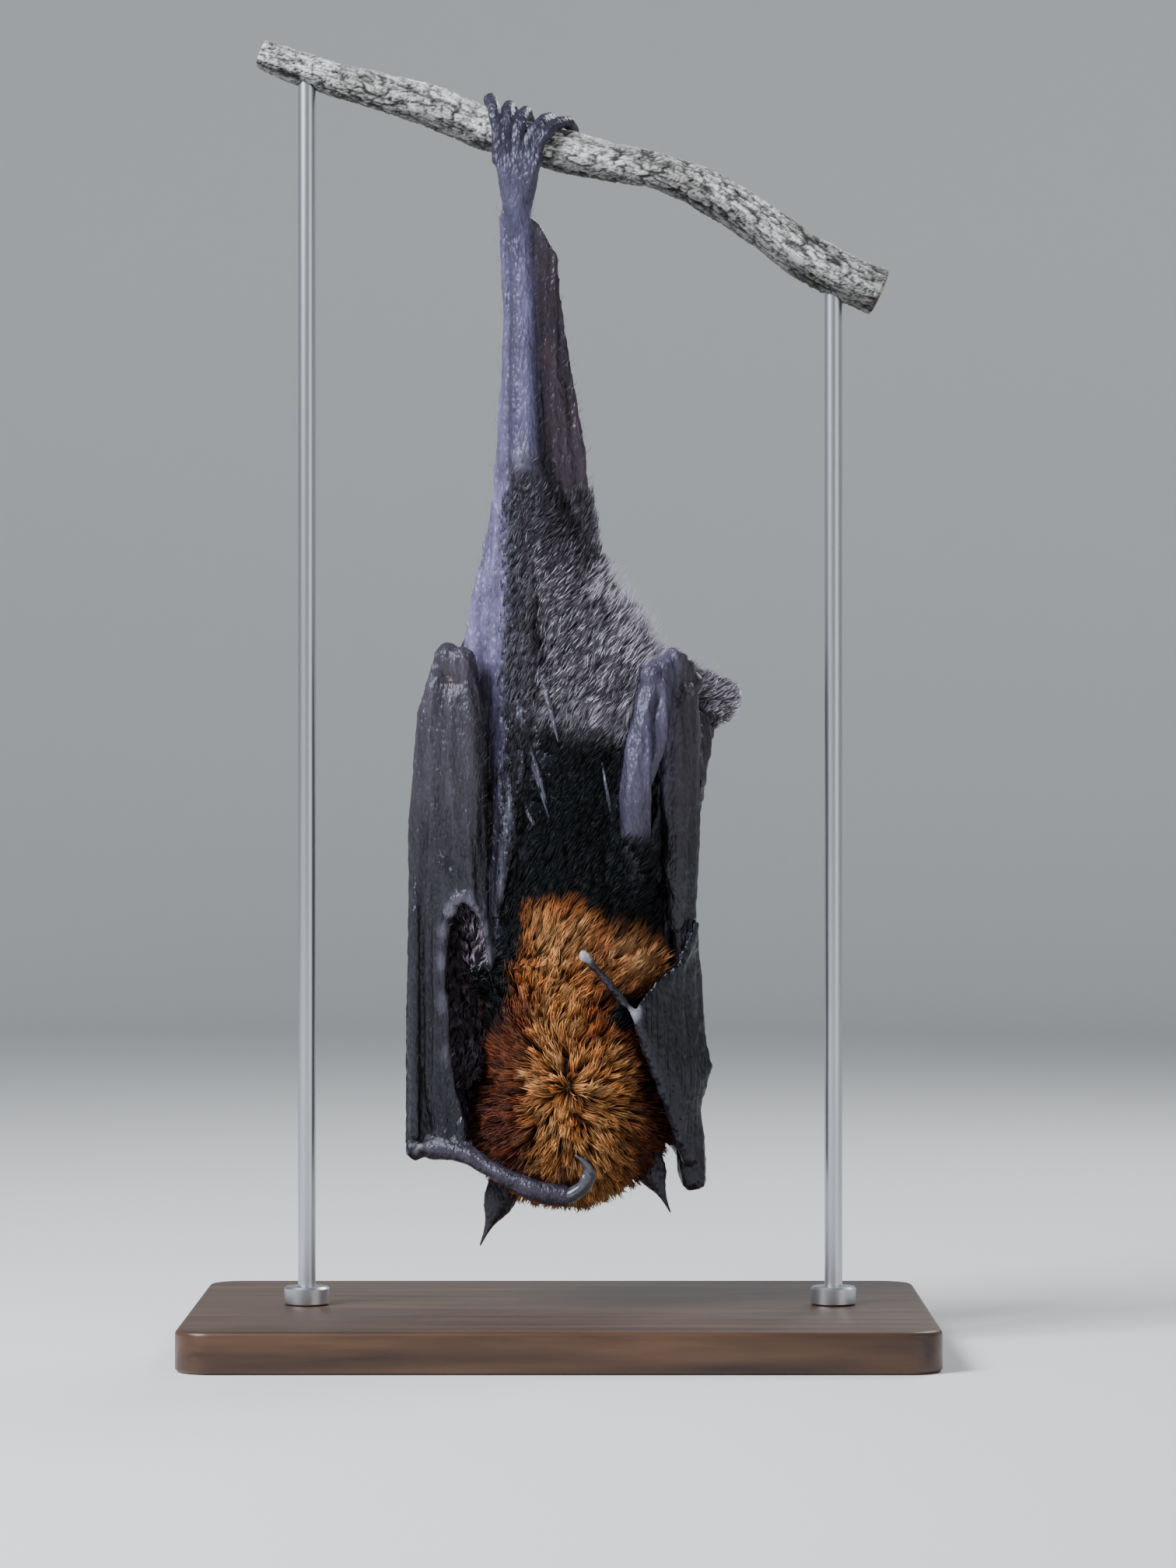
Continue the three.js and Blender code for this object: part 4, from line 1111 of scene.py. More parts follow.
# ---------- skin ----------
@dataclass
class Skin:
    """One skin over the whole animal, inside the solids by the depth of the coat.

    Attributes:
        most: about how many triangles the skin may have.
        ears: the base and the tip of each ear.
        ridge_paths: the folds of membrane on the back, as x and height.
        knobs: round bones under the skin.
        dents: hollows of the skin: place, width and depth.
        groove: the cleft between the folded left fingers, as x and height.
        braces: bars that fill out limbs: middle line and radii.
        roots: bars that carry arms and ears under the coat.
        bridge: the muzzle's middle line, in the head's own directions.
        tip_of_snout: balls that round off the muzzle, in the same directions.
        names: the solid that each point of the finished shape belongs to.
        crests: the lines of the folds on the back.
    """

    voxel_under: float = 1.3
    voxel: float = 0.78
    most: int = 190_000
    ears: tuple[tuple[Point, Point], ...] = (
        ((-17.5, 0.0, 73.0), (-30.3, -5.0, 42.8)),
        ((29.5, 0.0, 83.0), (42.4, -5.0, 55.6)),
    )
    ridge_paths: tuple[Flat, ...] = (
        ((-19.2, 322.0), (-19.2, 288.0), (-17.5, 266.0), (-15.6, 246.0), (-9.2, 225.0), (-4.0, 208.0)),
        ((-8.3, 268.0), (-4.6, 254.8), (-0.5, 238.0)),
        ((-16.0, 248.7), (-9.2, 228.7), (-5.0, 214.0)),
        ((-16.0, 232.0), (-13.8, 215.0), (-8.0, 202.0)),
        ((-20.0, 222.0), (-18.4, 205.7), (-15.0, 192.0)),
        ((-20.5, 212.0), (-22.0, 187.3), (-24.6, 163.0)),
        ((16.5, 230.0), (21.0, 205.7), (27.0, 190.3), (32.0, 178.0)),
    )
    knobs: tuple[Ball, ...] = (
        ((-44.4, -15.0, 271.6), 5.3), ((-38.4, -16.6, 269.6), 5.6), ((-14.6, -15.4, 350.2), 3.3),
        ((45.0, -19.0, 269.6), 5.2), ((36.4, -25.0, 263.6), 5.2), ((51.4, -14.0, 261.0), 4.6),
        ((49.4, -20.4, 258.6), 3.0), ((-56.0, -12.0, 78.4), 4.2), ((-54.4, -16.6, 79.6), 1.5),
        ((58.0, -4.6, 110.6), 1.8), ((52.6, -7.0, 66.4), 4.6), ((29.2, -35.4, 132.6), 2.3),
        ((9.6, -44.1, 155.4), 1.75),
    )
    dents: tuple[tuple[Point, float, float], ...] = (
        ((-43.6, -21.5, 262.0), 4.6, 2.4), ((47.0, -22.0, 257.6), 3.4, 1.6),
        ((-13.4, -18.0, 340.0), 3.4, 1.8), ((63.0, 34.0, 248.0), 5.0, 2.4),
    )
    groove: Flat = (
        (38.6, 256.0), (37.4, 246.0), (37.4, 225.0), (38.0, 205.0), (39.2, 186.0), (41.0, 172.0),
    )
    braces: tuple[Bar, ...] = (
        (((44.2, -16.5, 262), (43.9, -18.0, 240), (44.0, -18.0, 215), (45.0, -15.5, 190), (47.0, -11.0, 165)),
         (5.0, 6.1, 6.1, 5.6, 4.4)),
        (((-17.2, -6.6, 438), (-16.8, -7.4, 449), (-16.6, -8.6, 460)), (4.6, 5.6, 5.2)),
        (((-21.2, -7.0, 432), (-21.3, -7.6, 447), (-21.7, -8.6, 458), (-22.8, -9.4, 469)),
         (1.3, 1.5, 1.3, 0.9)),
    )
    roots: tuple[Bar, ...] = (
        (((-25.5, -7, 150), (-16, -4, 148), (-6, -2, 148)), (8.5, 8.5, 8.0)),
        (((23.5, -12, 163), (14, -6, 160), (6, -3, 158)), (8.5, 8.5, 8.0)),
        (((-17.5, 0, 73), (-11, 0, 79), (-5, 0, 84)), (5.5, 6.5, 7.0)),
        (((29.5, 0, 83), (23, 0, 86), (15, 0, 88)), (5.5, 6.5, 7.0)),
    )
    bridge: tuple[Point, ...] = ((24.0, 0.0, -6.0), (34.0, 0.0, -7.0), (43.0, 0.0, -8.0), (52.0, 0.0, -8.4))
    tip_of_snout: tuple[Ball, ...] = (
        ((51.4, 0.0, -8.4), 7.5), ((50.5, 0.0, -10.2), 6.4), ((45.0, 4.4, -10.0), 5.8),
        ((45.0, -4.4, -10.0), 5.8), ((58.2, 2.4, -7.4), 3.0), ((58.2, -2.4, -7.4), 3.0),
        ((56.2, 0.0, -8.4), 4.9),
    )
    back_low: float = 155.0
    back_high: float = 325.0
    shape: Shape | None = None
    names: Array | None = None
    crests: list[Array] = field(default_factory=list)

    def depth(self, points: Array, names: Array) -> Array:
        """Works out how deep the coat is; it thins out towards the membranes, the knees and the face.

        Args:
            points: places on the furred solids.
            names: the solids that they belong to.

        Returns:
            The depth at each place.
        """
        ahead = SKULL.local(points)[:, 0]
        tip = 2.7 * smooth_step(49.0, 56.0, ahead) * SKULL.under_ceiling(points)
        thin = ("flank_web", "side_web", "arm_web", "tail_web", "upper_arm")
        close = Solids(tuple(name for name in FLESH if name.endswith(thin)))
        depth = np.array([GROWTH[name].depth if name in GROWTH else 1.0 for name in names])
        face = smooth_step(4.0, 30.0, ahead) * SKULL.under_ceiling(points)
        depth = depth + (1.1 + tip - depth) * face * (names == "head")
        depth *= 0.12 + 0.88 * away(points, KNEE, 7.0, 16.0)
        knee = smooth_step(300.0, 345.0, points[:, 2]) * (names == "right_thigh")
        contact = smooth_step(0.8, 8.0, close.distance(points))
        return depth * (1 - 0.6 * knee) * (0.15 + 0.85 * contact)

    def under_coat(self, solids: Solids) -> Shape:
        """Makes the furred body's skin.

        Args:
            solids: the solids of flesh.

        Returns:
            The skin, set in by the depth of its coat.
        """
        parts = [Shape.of_node(name).grown(0.35) for name in (*COATED, "eye_right", "eye_left")]
        body = Shape.joined(parts).voxelled(self.voxel_under).smoothed(14)
        names = np.array(FLESH)[solids.of(body.points)]
        depth = body.eased(self.depth(body.points, names), 14)
        return body.grown(-depth).smoothed(4)

    def ridges(self, solids: Solids) -> list[Shape]:
        """Makes the folds of membrane that run out over the coat of the back, and keeps their lines.

        Args:
            solids: the solids of flesh, whose back they lie on.

        Returns:
            One bar for each fold.
        """
        bars = []
        for path in self.ridge_paths:
            line = curve_through(np.array([(x, 0.0, z) for x, z in path]), 20)
            line[:, 1] = running_mean(np.array([solids.back_at(x, z) + 0.6 for x, _, z in line]), 2)
            self.crests.append(line)
            bars.append(sweep(line, np.array([0.4, 1.15, 1.35, 1.05, 0.3]), 8, 40))
        return bars

    def ridge_distance(self, points: Array) -> Array:
        """Works out how far places are from the fold lines of the back.

        Args:
            points: the places.

        Returns:
            The distance of each place, and 99 for one that isn't on that part of the back.
        """
        tree = search_tree(np.concatenate(self.crests))
        heights = points[:, 2]
        back = np.flatnonzero((points[:, 1] < 0) & (heights > self.back_low) & (heights < self.back_high))
        distance = np.full(len(points), 99.0)
        distance[back] = [tree.find(place)[2] for place in points[back]]
        return distance

    def foot(self) -> list[Shape]:
        """Returns the tendons on the back of the holding foot and the knuckles of its toes."""
        extras = []
        toes = Toes()
        middle = toes.holding[2][0]
        for row in toes.holding:
            line = toes.over_branch(*row)
            root = row[0]
            ankle = middle + 0.28 * (root - middle)
            path = np.array([(root, -11.0, 468.0), ((root + ankle) / 2, -12.2, 459.0), (ankle, -11.0, 449.0)])
            extras.append(sweep(path, np.array([1.9, 1.5, 0.8]), 10, 16))
            extras += [sphere(line[at], size, 12) for at, size in ((15, 2.75), (32, 2.85))]
        return extras

    def arch(self, solids: Solids) -> Shape:
        """Makes the thickened edge of the web that arches over the crook of the right arm.

        Args:
            solids: the solids of flesh, whose back it lies on.

        Returns:
            The edge, as a bar.
        """
        line = curve_through(np.array([(x, 0.0, z) for x, z in ARCH_LINE]), 40)
        out = [(x - 1.2 * (x < -40) + 1.0 * (x > -34), z + 1.3 * (z > 168)) for x, _, z in line]
        depths = [max(-26.0, min(-12.0, solids.back_at(x, z))) - 0.5 for x, z in out]
        line[:, 1] = running_mean(np.array(depths), 4)
        return sweep(line, np.array([0.6, 1.1, 1.4, 1.6, 1.7, 1.6, 1.3, 0.7]), 12, 80)

    def snout(self) -> list[Shape]:
        """Returns the rounded end of the muzzle: bridge, lower lip, cheeks of the lips and nostrils."""
        bridge = np.array([SKULL.place(*spot) for spot in self.bridge])
        balls = [sphere(SKULL.place(*centre), radius, 20) for centre, radius in self.tip_of_snout]
        return [*balls, sweep(bridge, np.array([16.5, 13.0, 10.2, 7.6]), 28, 40)]

    def veil(self) -> list[Shape]:
        """Returns the membrane between the bent left leg and the top of its flank web."""
        share = np.linspace(0.0, 1.0, 15)[:, None]
        over = np.array([62.0, 38.0, 252.0]) + share * np.array([-14.0, -26.0, -3.0])
        under = np.array([60.0, 38.0, 243.0]) + share * np.array([-5.0, -29.0, -18.0])
        middle = (over + under) / 2 + np.array([1.2, 0.0, 0.0])
        threads = np.stack([over, middle, under], axis=1)
        return [sweep(thread, np.array([1.5, 1.3, 1.5]), 8, 12) for thread in threads]

    def joins(self) -> list[Shape]:
        """Returns the flesh under the coat that carries the arms and the ears."""
        return [sweep(np.array(path), np.array(radii), 16) for path, radii in self.roots]

    def creased(self, shape: Shape, names: Array) -> Shape:
        """Adds the folds of the wings, the soft forms of the limbs and the lines of the face.

        Args:
            shape: the plain skin.
            names: the solid that each of its points belongs to.

        Returns:
            The skin with its relief.
        """
        points = shape.points
        wing = np.isin(names, WINGS).astype(float)
        web = np.array(["web" in name for name in names], dtype=float)
        leg = np.isin(names, FEET).astype(float)
        wing[np.char.find(names, "thumb") >= 0] = 0.25
        long_folds = 1.05 * folds(points, (3.6, 3.6, 80.0), 11)
        move = wing * (long_folds + 0.55 * cloud(points, (12.0, 12.0, 34.0), 21, 2) - 0.3)
        move += web * (1.05 * folds(points, (2.4, 2.4, 66.0), 17) - 0.3)
        slant = points @ np.array([[0.8, 0.0, 0.6], [0.0, 1.0, 0.0], [-0.6, 0.0, 0.8]]).T
        move += (wing + 0.7 * leg) * 0.36 * cloud(slant, (1.7, 1.7, 4.2), 29, 2)
        move += leg * 0.3 * cloud(points, (5.0, 5.0, 12.0), 23, 2)
        for centre, reach, deep in self.dents:
            move -= deep * glow(points, centre, reach)
        line = np.array(self.groove)[::-1]
        heights = points[:, 2]
        side = points[:, 0] - np.interp(heights, line[:, 1], line[:, 0])
        cleft = bell(side, 0.0, 1.5) * smooth_step(262.0, 252.0, heights) * smooth_step(168.0, 180.0, heights)
        move -= 3.4 * cleft * (points[:, 1] < -12) * (names != "chest")
        points = self.pointed(points, names)
        shape = Shape(points, shape.faces)
        knee = glow(points, KNEE, 11.0)
        move += knee * (0.9 * folds(points, (3.0, 3.0, 9.0), 37) + 0.5 * cloud(points, 3.0, 39, 2) - 0.5)
        move = shape.eased(move, 1)
        return self.faced(shape.grown(move))

    def pointed(self, points: Array, names: Array) -> Array:
        """Draws the ears out to narrow tips.

        Args:
            points: the skin's points.
            names: the solids that they belong to.

        Returns:
            The points, moved on the ears only.
        """
        points = points.copy()
        for name, (base, tip) in zip(EARS, self.ears):
            mine = names == name
            line = np.array(tip) - np.array(base)
            share = (points[mine] - np.array(base)) @ line / (line @ line)
            middle = np.array(base) + share[:, None] * line
            narrow = 1 - 0.78 * smooth_step(0.55, 1.0, share)
            out = 0.09 * smooth_step(0.75, 1.0, share)
            points[mine] = middle + (points[mine] - middle) * narrow[:, None] + line * out[:, None]
        return points

    def faced(self, shape: Shape) -> Shape:
        """Adds lids round the eyes, a brow, the line of the mouth and the nostrils.

        Args:
            shape: the skin.

        Returns:
            The skin with its face.
        """
        points = shape.points.copy()
        slit = SKULL.opening(points)
        for side in (1.0, -1.0):
            centre, out, _ = SKULL.gaze(side)
            arm = points - centre
            reach = np.linalg.norm(arm, axis=1)
            close = (reach < 12) & (arm @ out > 0)
            inside = close & (slit < 1.0)
            points[inside] = centre + unit(arm[inside]) * 4.4
            push = np.maximum(0.0, 6.5 - reach) * close * bell(slit, 1.24, 0.3)
            points += unit(arm) * push[:, None]
        local = SKULL.local(points)
        sink = 1.5 * SKULL.lips(points)
        for side in (1.0, -1.0):
            sink += 2.4 * glow(points, SKULL.place(61.6, 2.7 * side, -6.9), 1.25)
        tip = smooth_step(58.0, 60.0, local[:, 0]) * SKULL.under_ceiling(points)
        sink += 0.9 * bell(local[:, 1], 0.0, 0.8) * tip
        sink -= 0.8 * bell(slit, 2.1, 0.5) * (local[:, 2] > 3)
        return Shape(points - shape.normals() * sink[:, None], shape.faces)

    def build(self, dresser: Dresser) -> bpy.types.Object:
        """Builds and dresses the skin.

        Args:
            dresser: gives it its finish.

        Returns:
            The finished skin.
        """
        solids = Solids(FLESH)
        limbs = [Shape.of_node(name).grown(0.22) for name in FLESH if name not in COATED]
        limbs += [sphere(place, radius, 12) for place, radius in self.knobs]
        limbs += [sweep(np.array(path), np.array(radii), 20, 40) for path, radii in self.braces]
        limbs += [self.arch(solids), *self.foot(), *self.joins(), *self.snout(), *self.veil()]
        shape = Shape.joined([self.under_coat(solids), *limbs]).voxelled(self.voxel).smoothed(7)
        shape = self.creased(shape, np.array(FLESH)[solids.of(shape.points)])
        self.shape = Shape.joined([shape, *self.ridges(solids)]).thinned(self.most)
        self.names = np.array(FLESH)[solids.of(self.shape.points)]
        piece = self.shape.placed("bat_skin")
        paint(piece.data, self.colours())
        return dresser.dress(piece, Finish.HIDE, FLESH)

    def colours(self) -> Array:
        """Returns the colour of each point: bare, under the coat with painted shade, on fold lines with a
        painted highlight and on the face.
        """
        points = self.shape.points
        coated = np.isin(self.names, COATED) * 1.0
        coated *= 1 - smooth_step(314.0, 336.0, points[:, 2]) * (self.names == "right_thigh")
        coated *= away(points, KNEE, 7.0, 13.0)
        coated = self.shape.eased(coated, 5)
        # Painted shade: the skin under the coat takes the coat's colour at 30 percent, as the shade deep
        # between the locks, and is less darkened round the whorl where the coat parts.
        crown = glow(points, WHORL, 9.0)[:, None]
        under = MARKINGS.coat(points) * (0.3 + 0.35 * crown)
        colours = self.shape.eased(mixed(MARKINGS.bare(points, self.names), under, coated), 3)
        # Painted highlight: the fold crests of the back are paler and bluer than the skin round them.
        colours = mixed(colours, MARKINGS.seam, 0.8 * smooth_step(1.9, 1.2, self.ridge_distance(points)))
        lids = smooth_step(1.9, 1.3, SKULL.opening(points))
        return mixed(colours, MARKINGS.lid, np.maximum(lids, SKULL.lips(points)))


# ---------- coat ----------
@dataclass
class Coat:
    """The coat: thousands of tapering locks over the skin, drawn together into tufts.

    Attributes:
        border_seed: picks the hairs at the border of the right flank web.
        most: how many triangles a piece of the coat may have.
        profile: the width of a lock at its root and its bends.
        ridge_gap: how far the coat keeps from the fold lines of the back.
    """

    skin: Skin
    seed: int = 7
    border_seed: int = 5
    most: int = 190_000
    sketch: float = 0.35
    profile: tuple[float, float, float] = (0.72, 1.0, 0.74)
    ridge_gap: float = 2.3

    def kinds(self, middle: Array, normals: Array, owner: Array) -> Array:
        """Says which growth each place on the skin has.

        Args:
            middle: the places.
            normals: the skin's outward normals there.
            owner: the solids that the places belong to.

        Returns:
            A key of GROWTH for each place, or an empty text where nothing grows.
        """
        x, y, z = middle.T
        kinds = np.where(np.isin(owner, COATED), owner, "").astype("<U16")
        bordering = ("tail_web", "right_flank_web")
        guarded = ("right_shank", *bordering, "right_arm_web", "right_thumb", "right_upper_arm")
        kinds[np.isin(owner, guarded)] = "guard"
        webs = np.isin(owner, bordering)
        gap = np.full(len(middle), 99.0)
        gap[webs] = Solids(("rump", "belly", "right_thigh")).distance(middle[webs])
        chance = np.random.default_rng(self.border_seed).random(len(x))
        strip = smooth_step(-25.5, -17.5, x + 2.5 * cloud(middle, 9.0, 87)) > chance
        kinds[webs & ((gap < 3.0) | (strip & (normals[:, 1] < 0))) & (z < 335)] = "margin"
        kinds[(owner == "left_upper_arm") & (z < 196 + 3 * cloud(middle, 6.0, 89))] = "chest"
        kinds[np.linalg.norm(middle - KNEE, axis=1) < 13.0] = "left_shank"
        kinds[(owner == "tail_web") & (z < 322) & (normals[:, 1] < 0)] = "margin"
        crook = (x > -46.5) & (x < -24) & (z > 80) & (z < 176) & (y > -12.5) & (normals[:, 1] < 0.3)
        arm = ("right_side_web", "right_upper_arm", "right_forearm", "right_hand_web")
        kinds[crook & np.isin(owner, arm)] = "crook"
        return kinds

    def roots(self, random: np.random.Generator) -> tuple[Array, Array, Array]:
        """Spreads the roots of the locks over the skin by how thick the coat grows.

        Args:
            random: the source of chance.

        Returns:
            The roots' places, the skin's normals there and the growths that they belong to.
        """
        shape = self.skin.shape
        corners = shape.points[shape.faces]
        flat = np.cross(corners[:, 1] - corners[:, 0], corners[:, 2] - corners[:, 0])
        areas = np.linalg.norm(flat, axis=1) / 2
        middle = corners.mean(axis=1)
        kinds = self.kinds(middle, unit(flat), self.skin.names[shape.faces[:, 0]])
        crowd = np.array([GROWTH[kind].crowd if kind else 0.0 for kind in kinds])
        ahead = SKULL.local(middle)[:, 0]
        head = kinds == "head"
        crowd *= 1 + 0.9 * smooth_step(10.0, 32.0, ahead) * head
        crowd *= 1 + 3.0 * glow(middle, WHORL, 6.0) * head
        crowd *= np.where(head & ((ahead > 57.5) | (SKULL.opening(middle) < 1.35)), 0.0, 1.0)
        crowd *= 1 - 0.85 * SKULL.lips(middle) * head
        crowd *= np.where(self.skin.ridge_distance(middle) < self.ridge_gap, 0.06, 1.0)
        crowd *= 1 - 0.93 * smooth_step(322.0, 346.0, middle[:, 2]) * (kinds == "right_thigh")
        weight = areas * crowd
        count = int(weight.sum() * (1.0))
        chosen = np.searchsorted(np.cumsum(weight) / weight.sum(), random.random(count))
        chosen = np.minimum(chosen, len(weight) - 1)
        u, v = random.random((2, count, 1))
        u, v = np.where(u + v > 1, 1 - u, u), np.where(u + v > 1, 1 - v, v)
        a, b, c = (corners[chosen, i] for i in range(3))
        normals = shape.eased(shape.normals(), 6)
        return a + (b - a) * u + (c - a) * v, unit(normals[shape.faces[chosen]].mean(axis=1)), kinds[chosen]

    def gathered(
        self, roots: Array, tips: Array, kinds: Array, random: np.random.Generator
    ) -> tuple[Array, Array]:
        """Gathers the locks into tufts.

        Args:
            roots: where the locks grow.
            tips: where each would end.
            kinds: the growths that they belong to.
            random: the source of chance.

        Returns:
            The tips of the tufts that the locks belong to, and the tufts' numbers.
        """
        share = 1 / np.array([GROWTH[kind].tuft for kind in kinds])
        leaders = np.flatnonzero(random.random(len(roots)) < share)
        tree = search_tree(roots[leaders])
        tuft = np.array([tree.find(root)[1] for root in roots])
        return tips[leaders[tuft]], tuft

    def locks(self, random: np.random.Generator) -> dict[str, Array]:
        """Works out everything that shapes and colours the locks.

        Args:
            random: the source of chance.

        Returns:
            Arrays by name, with a row for each lock.
        """
        roots, normals, kinds = self.roots(random)
        count = len(roots)
        growth = [GROWTH[kind] for kind in kinds]
        length = np.array([g.length for g in growth]) * random.uniform(0.7, 1.2, count)
        width = np.array([g.width for g in growth]) * random.uniform(0.7, 1.25, count)
        lift = np.radians([g.lift for g in growth]) * random.uniform(0.65, 1.4, count)
        ahead = SKULL.local(roots)[:, 0]
        head = kinds == "head"
        face = smooth_step(6.0, 32.0, ahead) * head
        length *= 1 - 0.72 * face
        length *= 1 - 0.4 * smooth_step(34.0, 52.0, ahead) * head
        length *= 1 - 0.5 * smooth_step(3.2, 1.6, SKULL.opening(roots)) * head
        width *= 1 - 0.42 * face
        lift *= 1 - 0.55 * face
        lift += (math.radians(72) - lift) * (glow(roots, WHORL, 5.5) * head)
        rim = np.isin(kinds, ("rump", "left_thigh")) & (roots[:, 2] > 250)
        rim &= (normals[:, 0] > 0.25) & (normals[:, 2] > -0.1)
        rim &= random.random(count) < 0.14
        length[rim] *= 1.35
        width[rim] *= 0.7
        lift[rim] *= 1.9
        lie = lie_of(roots, normals, kinds)
        tips = roots + length[:, None] * (lie * np.cos(lift)[:, None] + normals * np.sin(lift)[:, None])
        gathered, tuft = self.gathered(roots, tips, kinds, random)
        mood = random.random((3, tuft.max() + 1))
        return {
            "roots": roots, "normals": normals, "kinds": kinds, "lie": lie, "length": length, "width": width,
            "lift": lift, "tips": tips, "gathered": gathered, "face": face, "rim": rim,
            "draw": 0.4 + 0.58 * mood[0][tuft], "tone": mood[1][tuft], "warmth": mood[2][tuft],
            "chance": random.random(count),
        }

    def shape_of(
        self, locks: dict[str, Array], steps: int, random: np.random.Generator
    ) -> tuple[Array, Array, Array]:
        """Makes the locks' meshes.

        Args:
            locks: what locks() returns, or rows of it.
            steps: how many lengths each lock bends in.
            random: the source of chance.

        Returns:
            Points, triangles and the share along its lock of each point.
        """
        count = len(locks["roots"])
        side = np.cross(locks["normals"], locks["lie"])
        facing = unit(np.cross(locks["lie"], side))
        curl = random.normal(0.0, 0.1, count)
        straight = locks["tips"] - locks["roots"]
        arch = locks["length"] * np.sin(locks["lift"])
        pull = (locks["gathered"] - locks["tips"]) * (locks["draw"] * (1 - 0.5 * locks["face"]))[:, None]
        size = np.linalg.norm(pull, axis=1, keepdims=True)
        pull *= np.minimum(1.0, locks["length"][:, None] * 0.5 / np.maximum(size, 1e-6))
        pull[(locks["kinds"] == "guard") | locks["rim"]] = 0
        rings, shares = [], []
        for k in range(steps + 1):
            s = k / steps
            rise = arch * s * (1 - s) - 0.5 * (k == 0)
            centre = locks["roots"] + straight * s + locks["normals"] * rise[:, None]
            centre = centre + pull * s**1.6 + side * (curl * locks["length"] * s * s)[:, None]
            if k == steps:
                rings.append(centre[:, None])
            else:
                half = (locks["width"] * self.profile[k] / 2)[:, None]
                corners = [centre + side * half, centre - side * half, centre + facing * half * 0.7]
                rings.append(np.stack(corners, axis=1))
            shares.append(np.full((count, rings[-1].shape[1]), s))
        points = np.concatenate(rings, axis=1)
        per = points.shape[1]
        faces = [(0, 2, 1)]
        for ring in range(0, 3 * (steps - 1), 3):
            for j in range(3):
                a, b = ring + j, ring + (j + 1) % 3
                faces += [(a, b, a + 3), (b, b + 3, a + 3)]
        top = 3 * (steps - 1)
        faces += [(top + j, top + (j + 1) % 3, per - 1) for j in range(3)]
        table = np.array(faces)[None] + (np.arange(count) * per)[:, None, None]
        return points.reshape(-1, 3), table.reshape(-1, 3), np.concatenate(shares, axis=1).reshape(-1)

    def colours(self, locks: dict[str, Array], share: Array) -> Array:
        """Colours the locks: dark at the roots, partly as the hair's own colour and partly as painted shade
        deep in the coat, and paler on some locks than on others.

        Args:
            locks: what locks() returns, or rows of it.
            share: how far along its lock each point lies.

        Returns:
            The colour of each point.
        """
        roots, kinds = locks["roots"], locks["kinds"]
        _, y, z = roots.T
        tip = MARKINGS.coat(roots)
        # The crook's fur takes the pale plum, which holds painted light in that shaded hollow.
        tip[kinds == "crook"] = MARKINGS.plum
        # Round the left knee the hair tips are paler on the side turned to the light, partly their own pale
        # colour and partly painted highlight.
        leg = np.isin(kinds, ("left_thigh", "left_shank"))
        hub = glow(roots[leg], KNEE, 14.0)
        behind = smooth_step(30.0, -5.0, y[leg] - KNEE[1] + 12)
        tip[leg] = MARKINGS.grizzle * (0.8 + 2.6 * hub * behind)[:, None]
        bare = np.isin(kinds, ("guard", "margin"))
        tip[bare] = MARKINGS.grizzle * 0.75
        tip[kinds == "guard"] *= 0.55
        margin = kinds == "margin"
        tip[margin] *= 0.10 + 0.45 * smooth_step(225.0, 262.0, z[margin])[:, None]
        thigh = kinds == "right_thigh"
        height = z[thigh] + 3 * cloud(roots[thigh], 8.0, 19)
        tip[thigh] *= (0.28 + 0.72 * smooth_step(328.0, 284.0, height))[:, None]
        tone = np.exp(1.2 * (locks["tone"] - 0.5) + 0.8 * (locks["chance"] - 0.5))
        grey = np.isin(kinds, ("rump", "right_thigh", "left_thigh", "left_shank"))
        pale = grey & (locks["chance"] > 0.80)
        tone[pale] *= 1.95
        tone[grey & ~pale] *= 0.5
        tone[locks["rim"]] = 2.6
        tip = tip * tone[:, None]
        gold = np.isin(kinds, ("head", "neck"))[:, None] * (locks["warmth"] - 0.5)[:, None]
        tip = tip * (1 + gold * np.array([0.0, 0.35, 0.7]))
        # Painted shade: each lock darkens from its tip to its root, partly its own colour and partly the
        # shade deep in the coat; round the whorl, where the coat parts, less so.
        root = tip * np.where(gold != 0, np.array([0.20, 0.13, 0.12]), np.array([0.12, 0.11, 0.12]))
        root = mixed(root, tip * 0.55, glow(roots, WHORL, 6.0))
        middle = tip * np.where(gold != 0, np.array([0.62, 0.50, 0.42]), np.array([0.66, 0.64, 0.64]))
        along = share.reshape(len(roots), -1)
        low, high = smooth_step(0.05, 0.55, along)[:, :, None], smooth_step(0.5, 1.0, along)[:, :, None]
        colours = root[:, None] + (middle - root)[:, None] * low + (tip - middle)[:, None] * high
        return colours.reshape(-1, 3)

    def unwrapped(self, locks: dict[str, Array]) -> Array:
        """Unwraps the skin under the locks.

        Args:
            locks: what locks() returns, or rows of it.

        Returns:
            Each root's place on a flat sheet, from 0 to 1 each way.
        """
        roots, kinds = locks["roots"], locks["kinds"]
        x, y, z = roots.T
        ahead, right, above = SKULL.local(roots).T
        on_head = kinds == "head"
        turn = np.where(on_head, np.arctan2(right, above), np.arctan2(x - 6, -y)) / (2 * math.pi) + 0.5
        polar = np.arctan2(np.hypot(right, above), -ahead) / math.pi
        along = np.where(on_head, 0.02 + 0.28 * polar, 0.34 + 0.36 * np.clip((z - 90) / 250.0, 0, 1))
        flat = np.stack([turn, along], axis=1)
        limb = ~np.isin(kinds, ("head", "neck", "chest", "belly", "rump"))
        strip = np.clip((x[limb] + 50) / 130.0, 0, 1)
        flat[limb] = np.stack([np.clip((z[limb] - 60) / 390.0, 0, 1), 0.74 + 0.22 * strip], axis=1)
        return 0.01 + 0.975 * flat

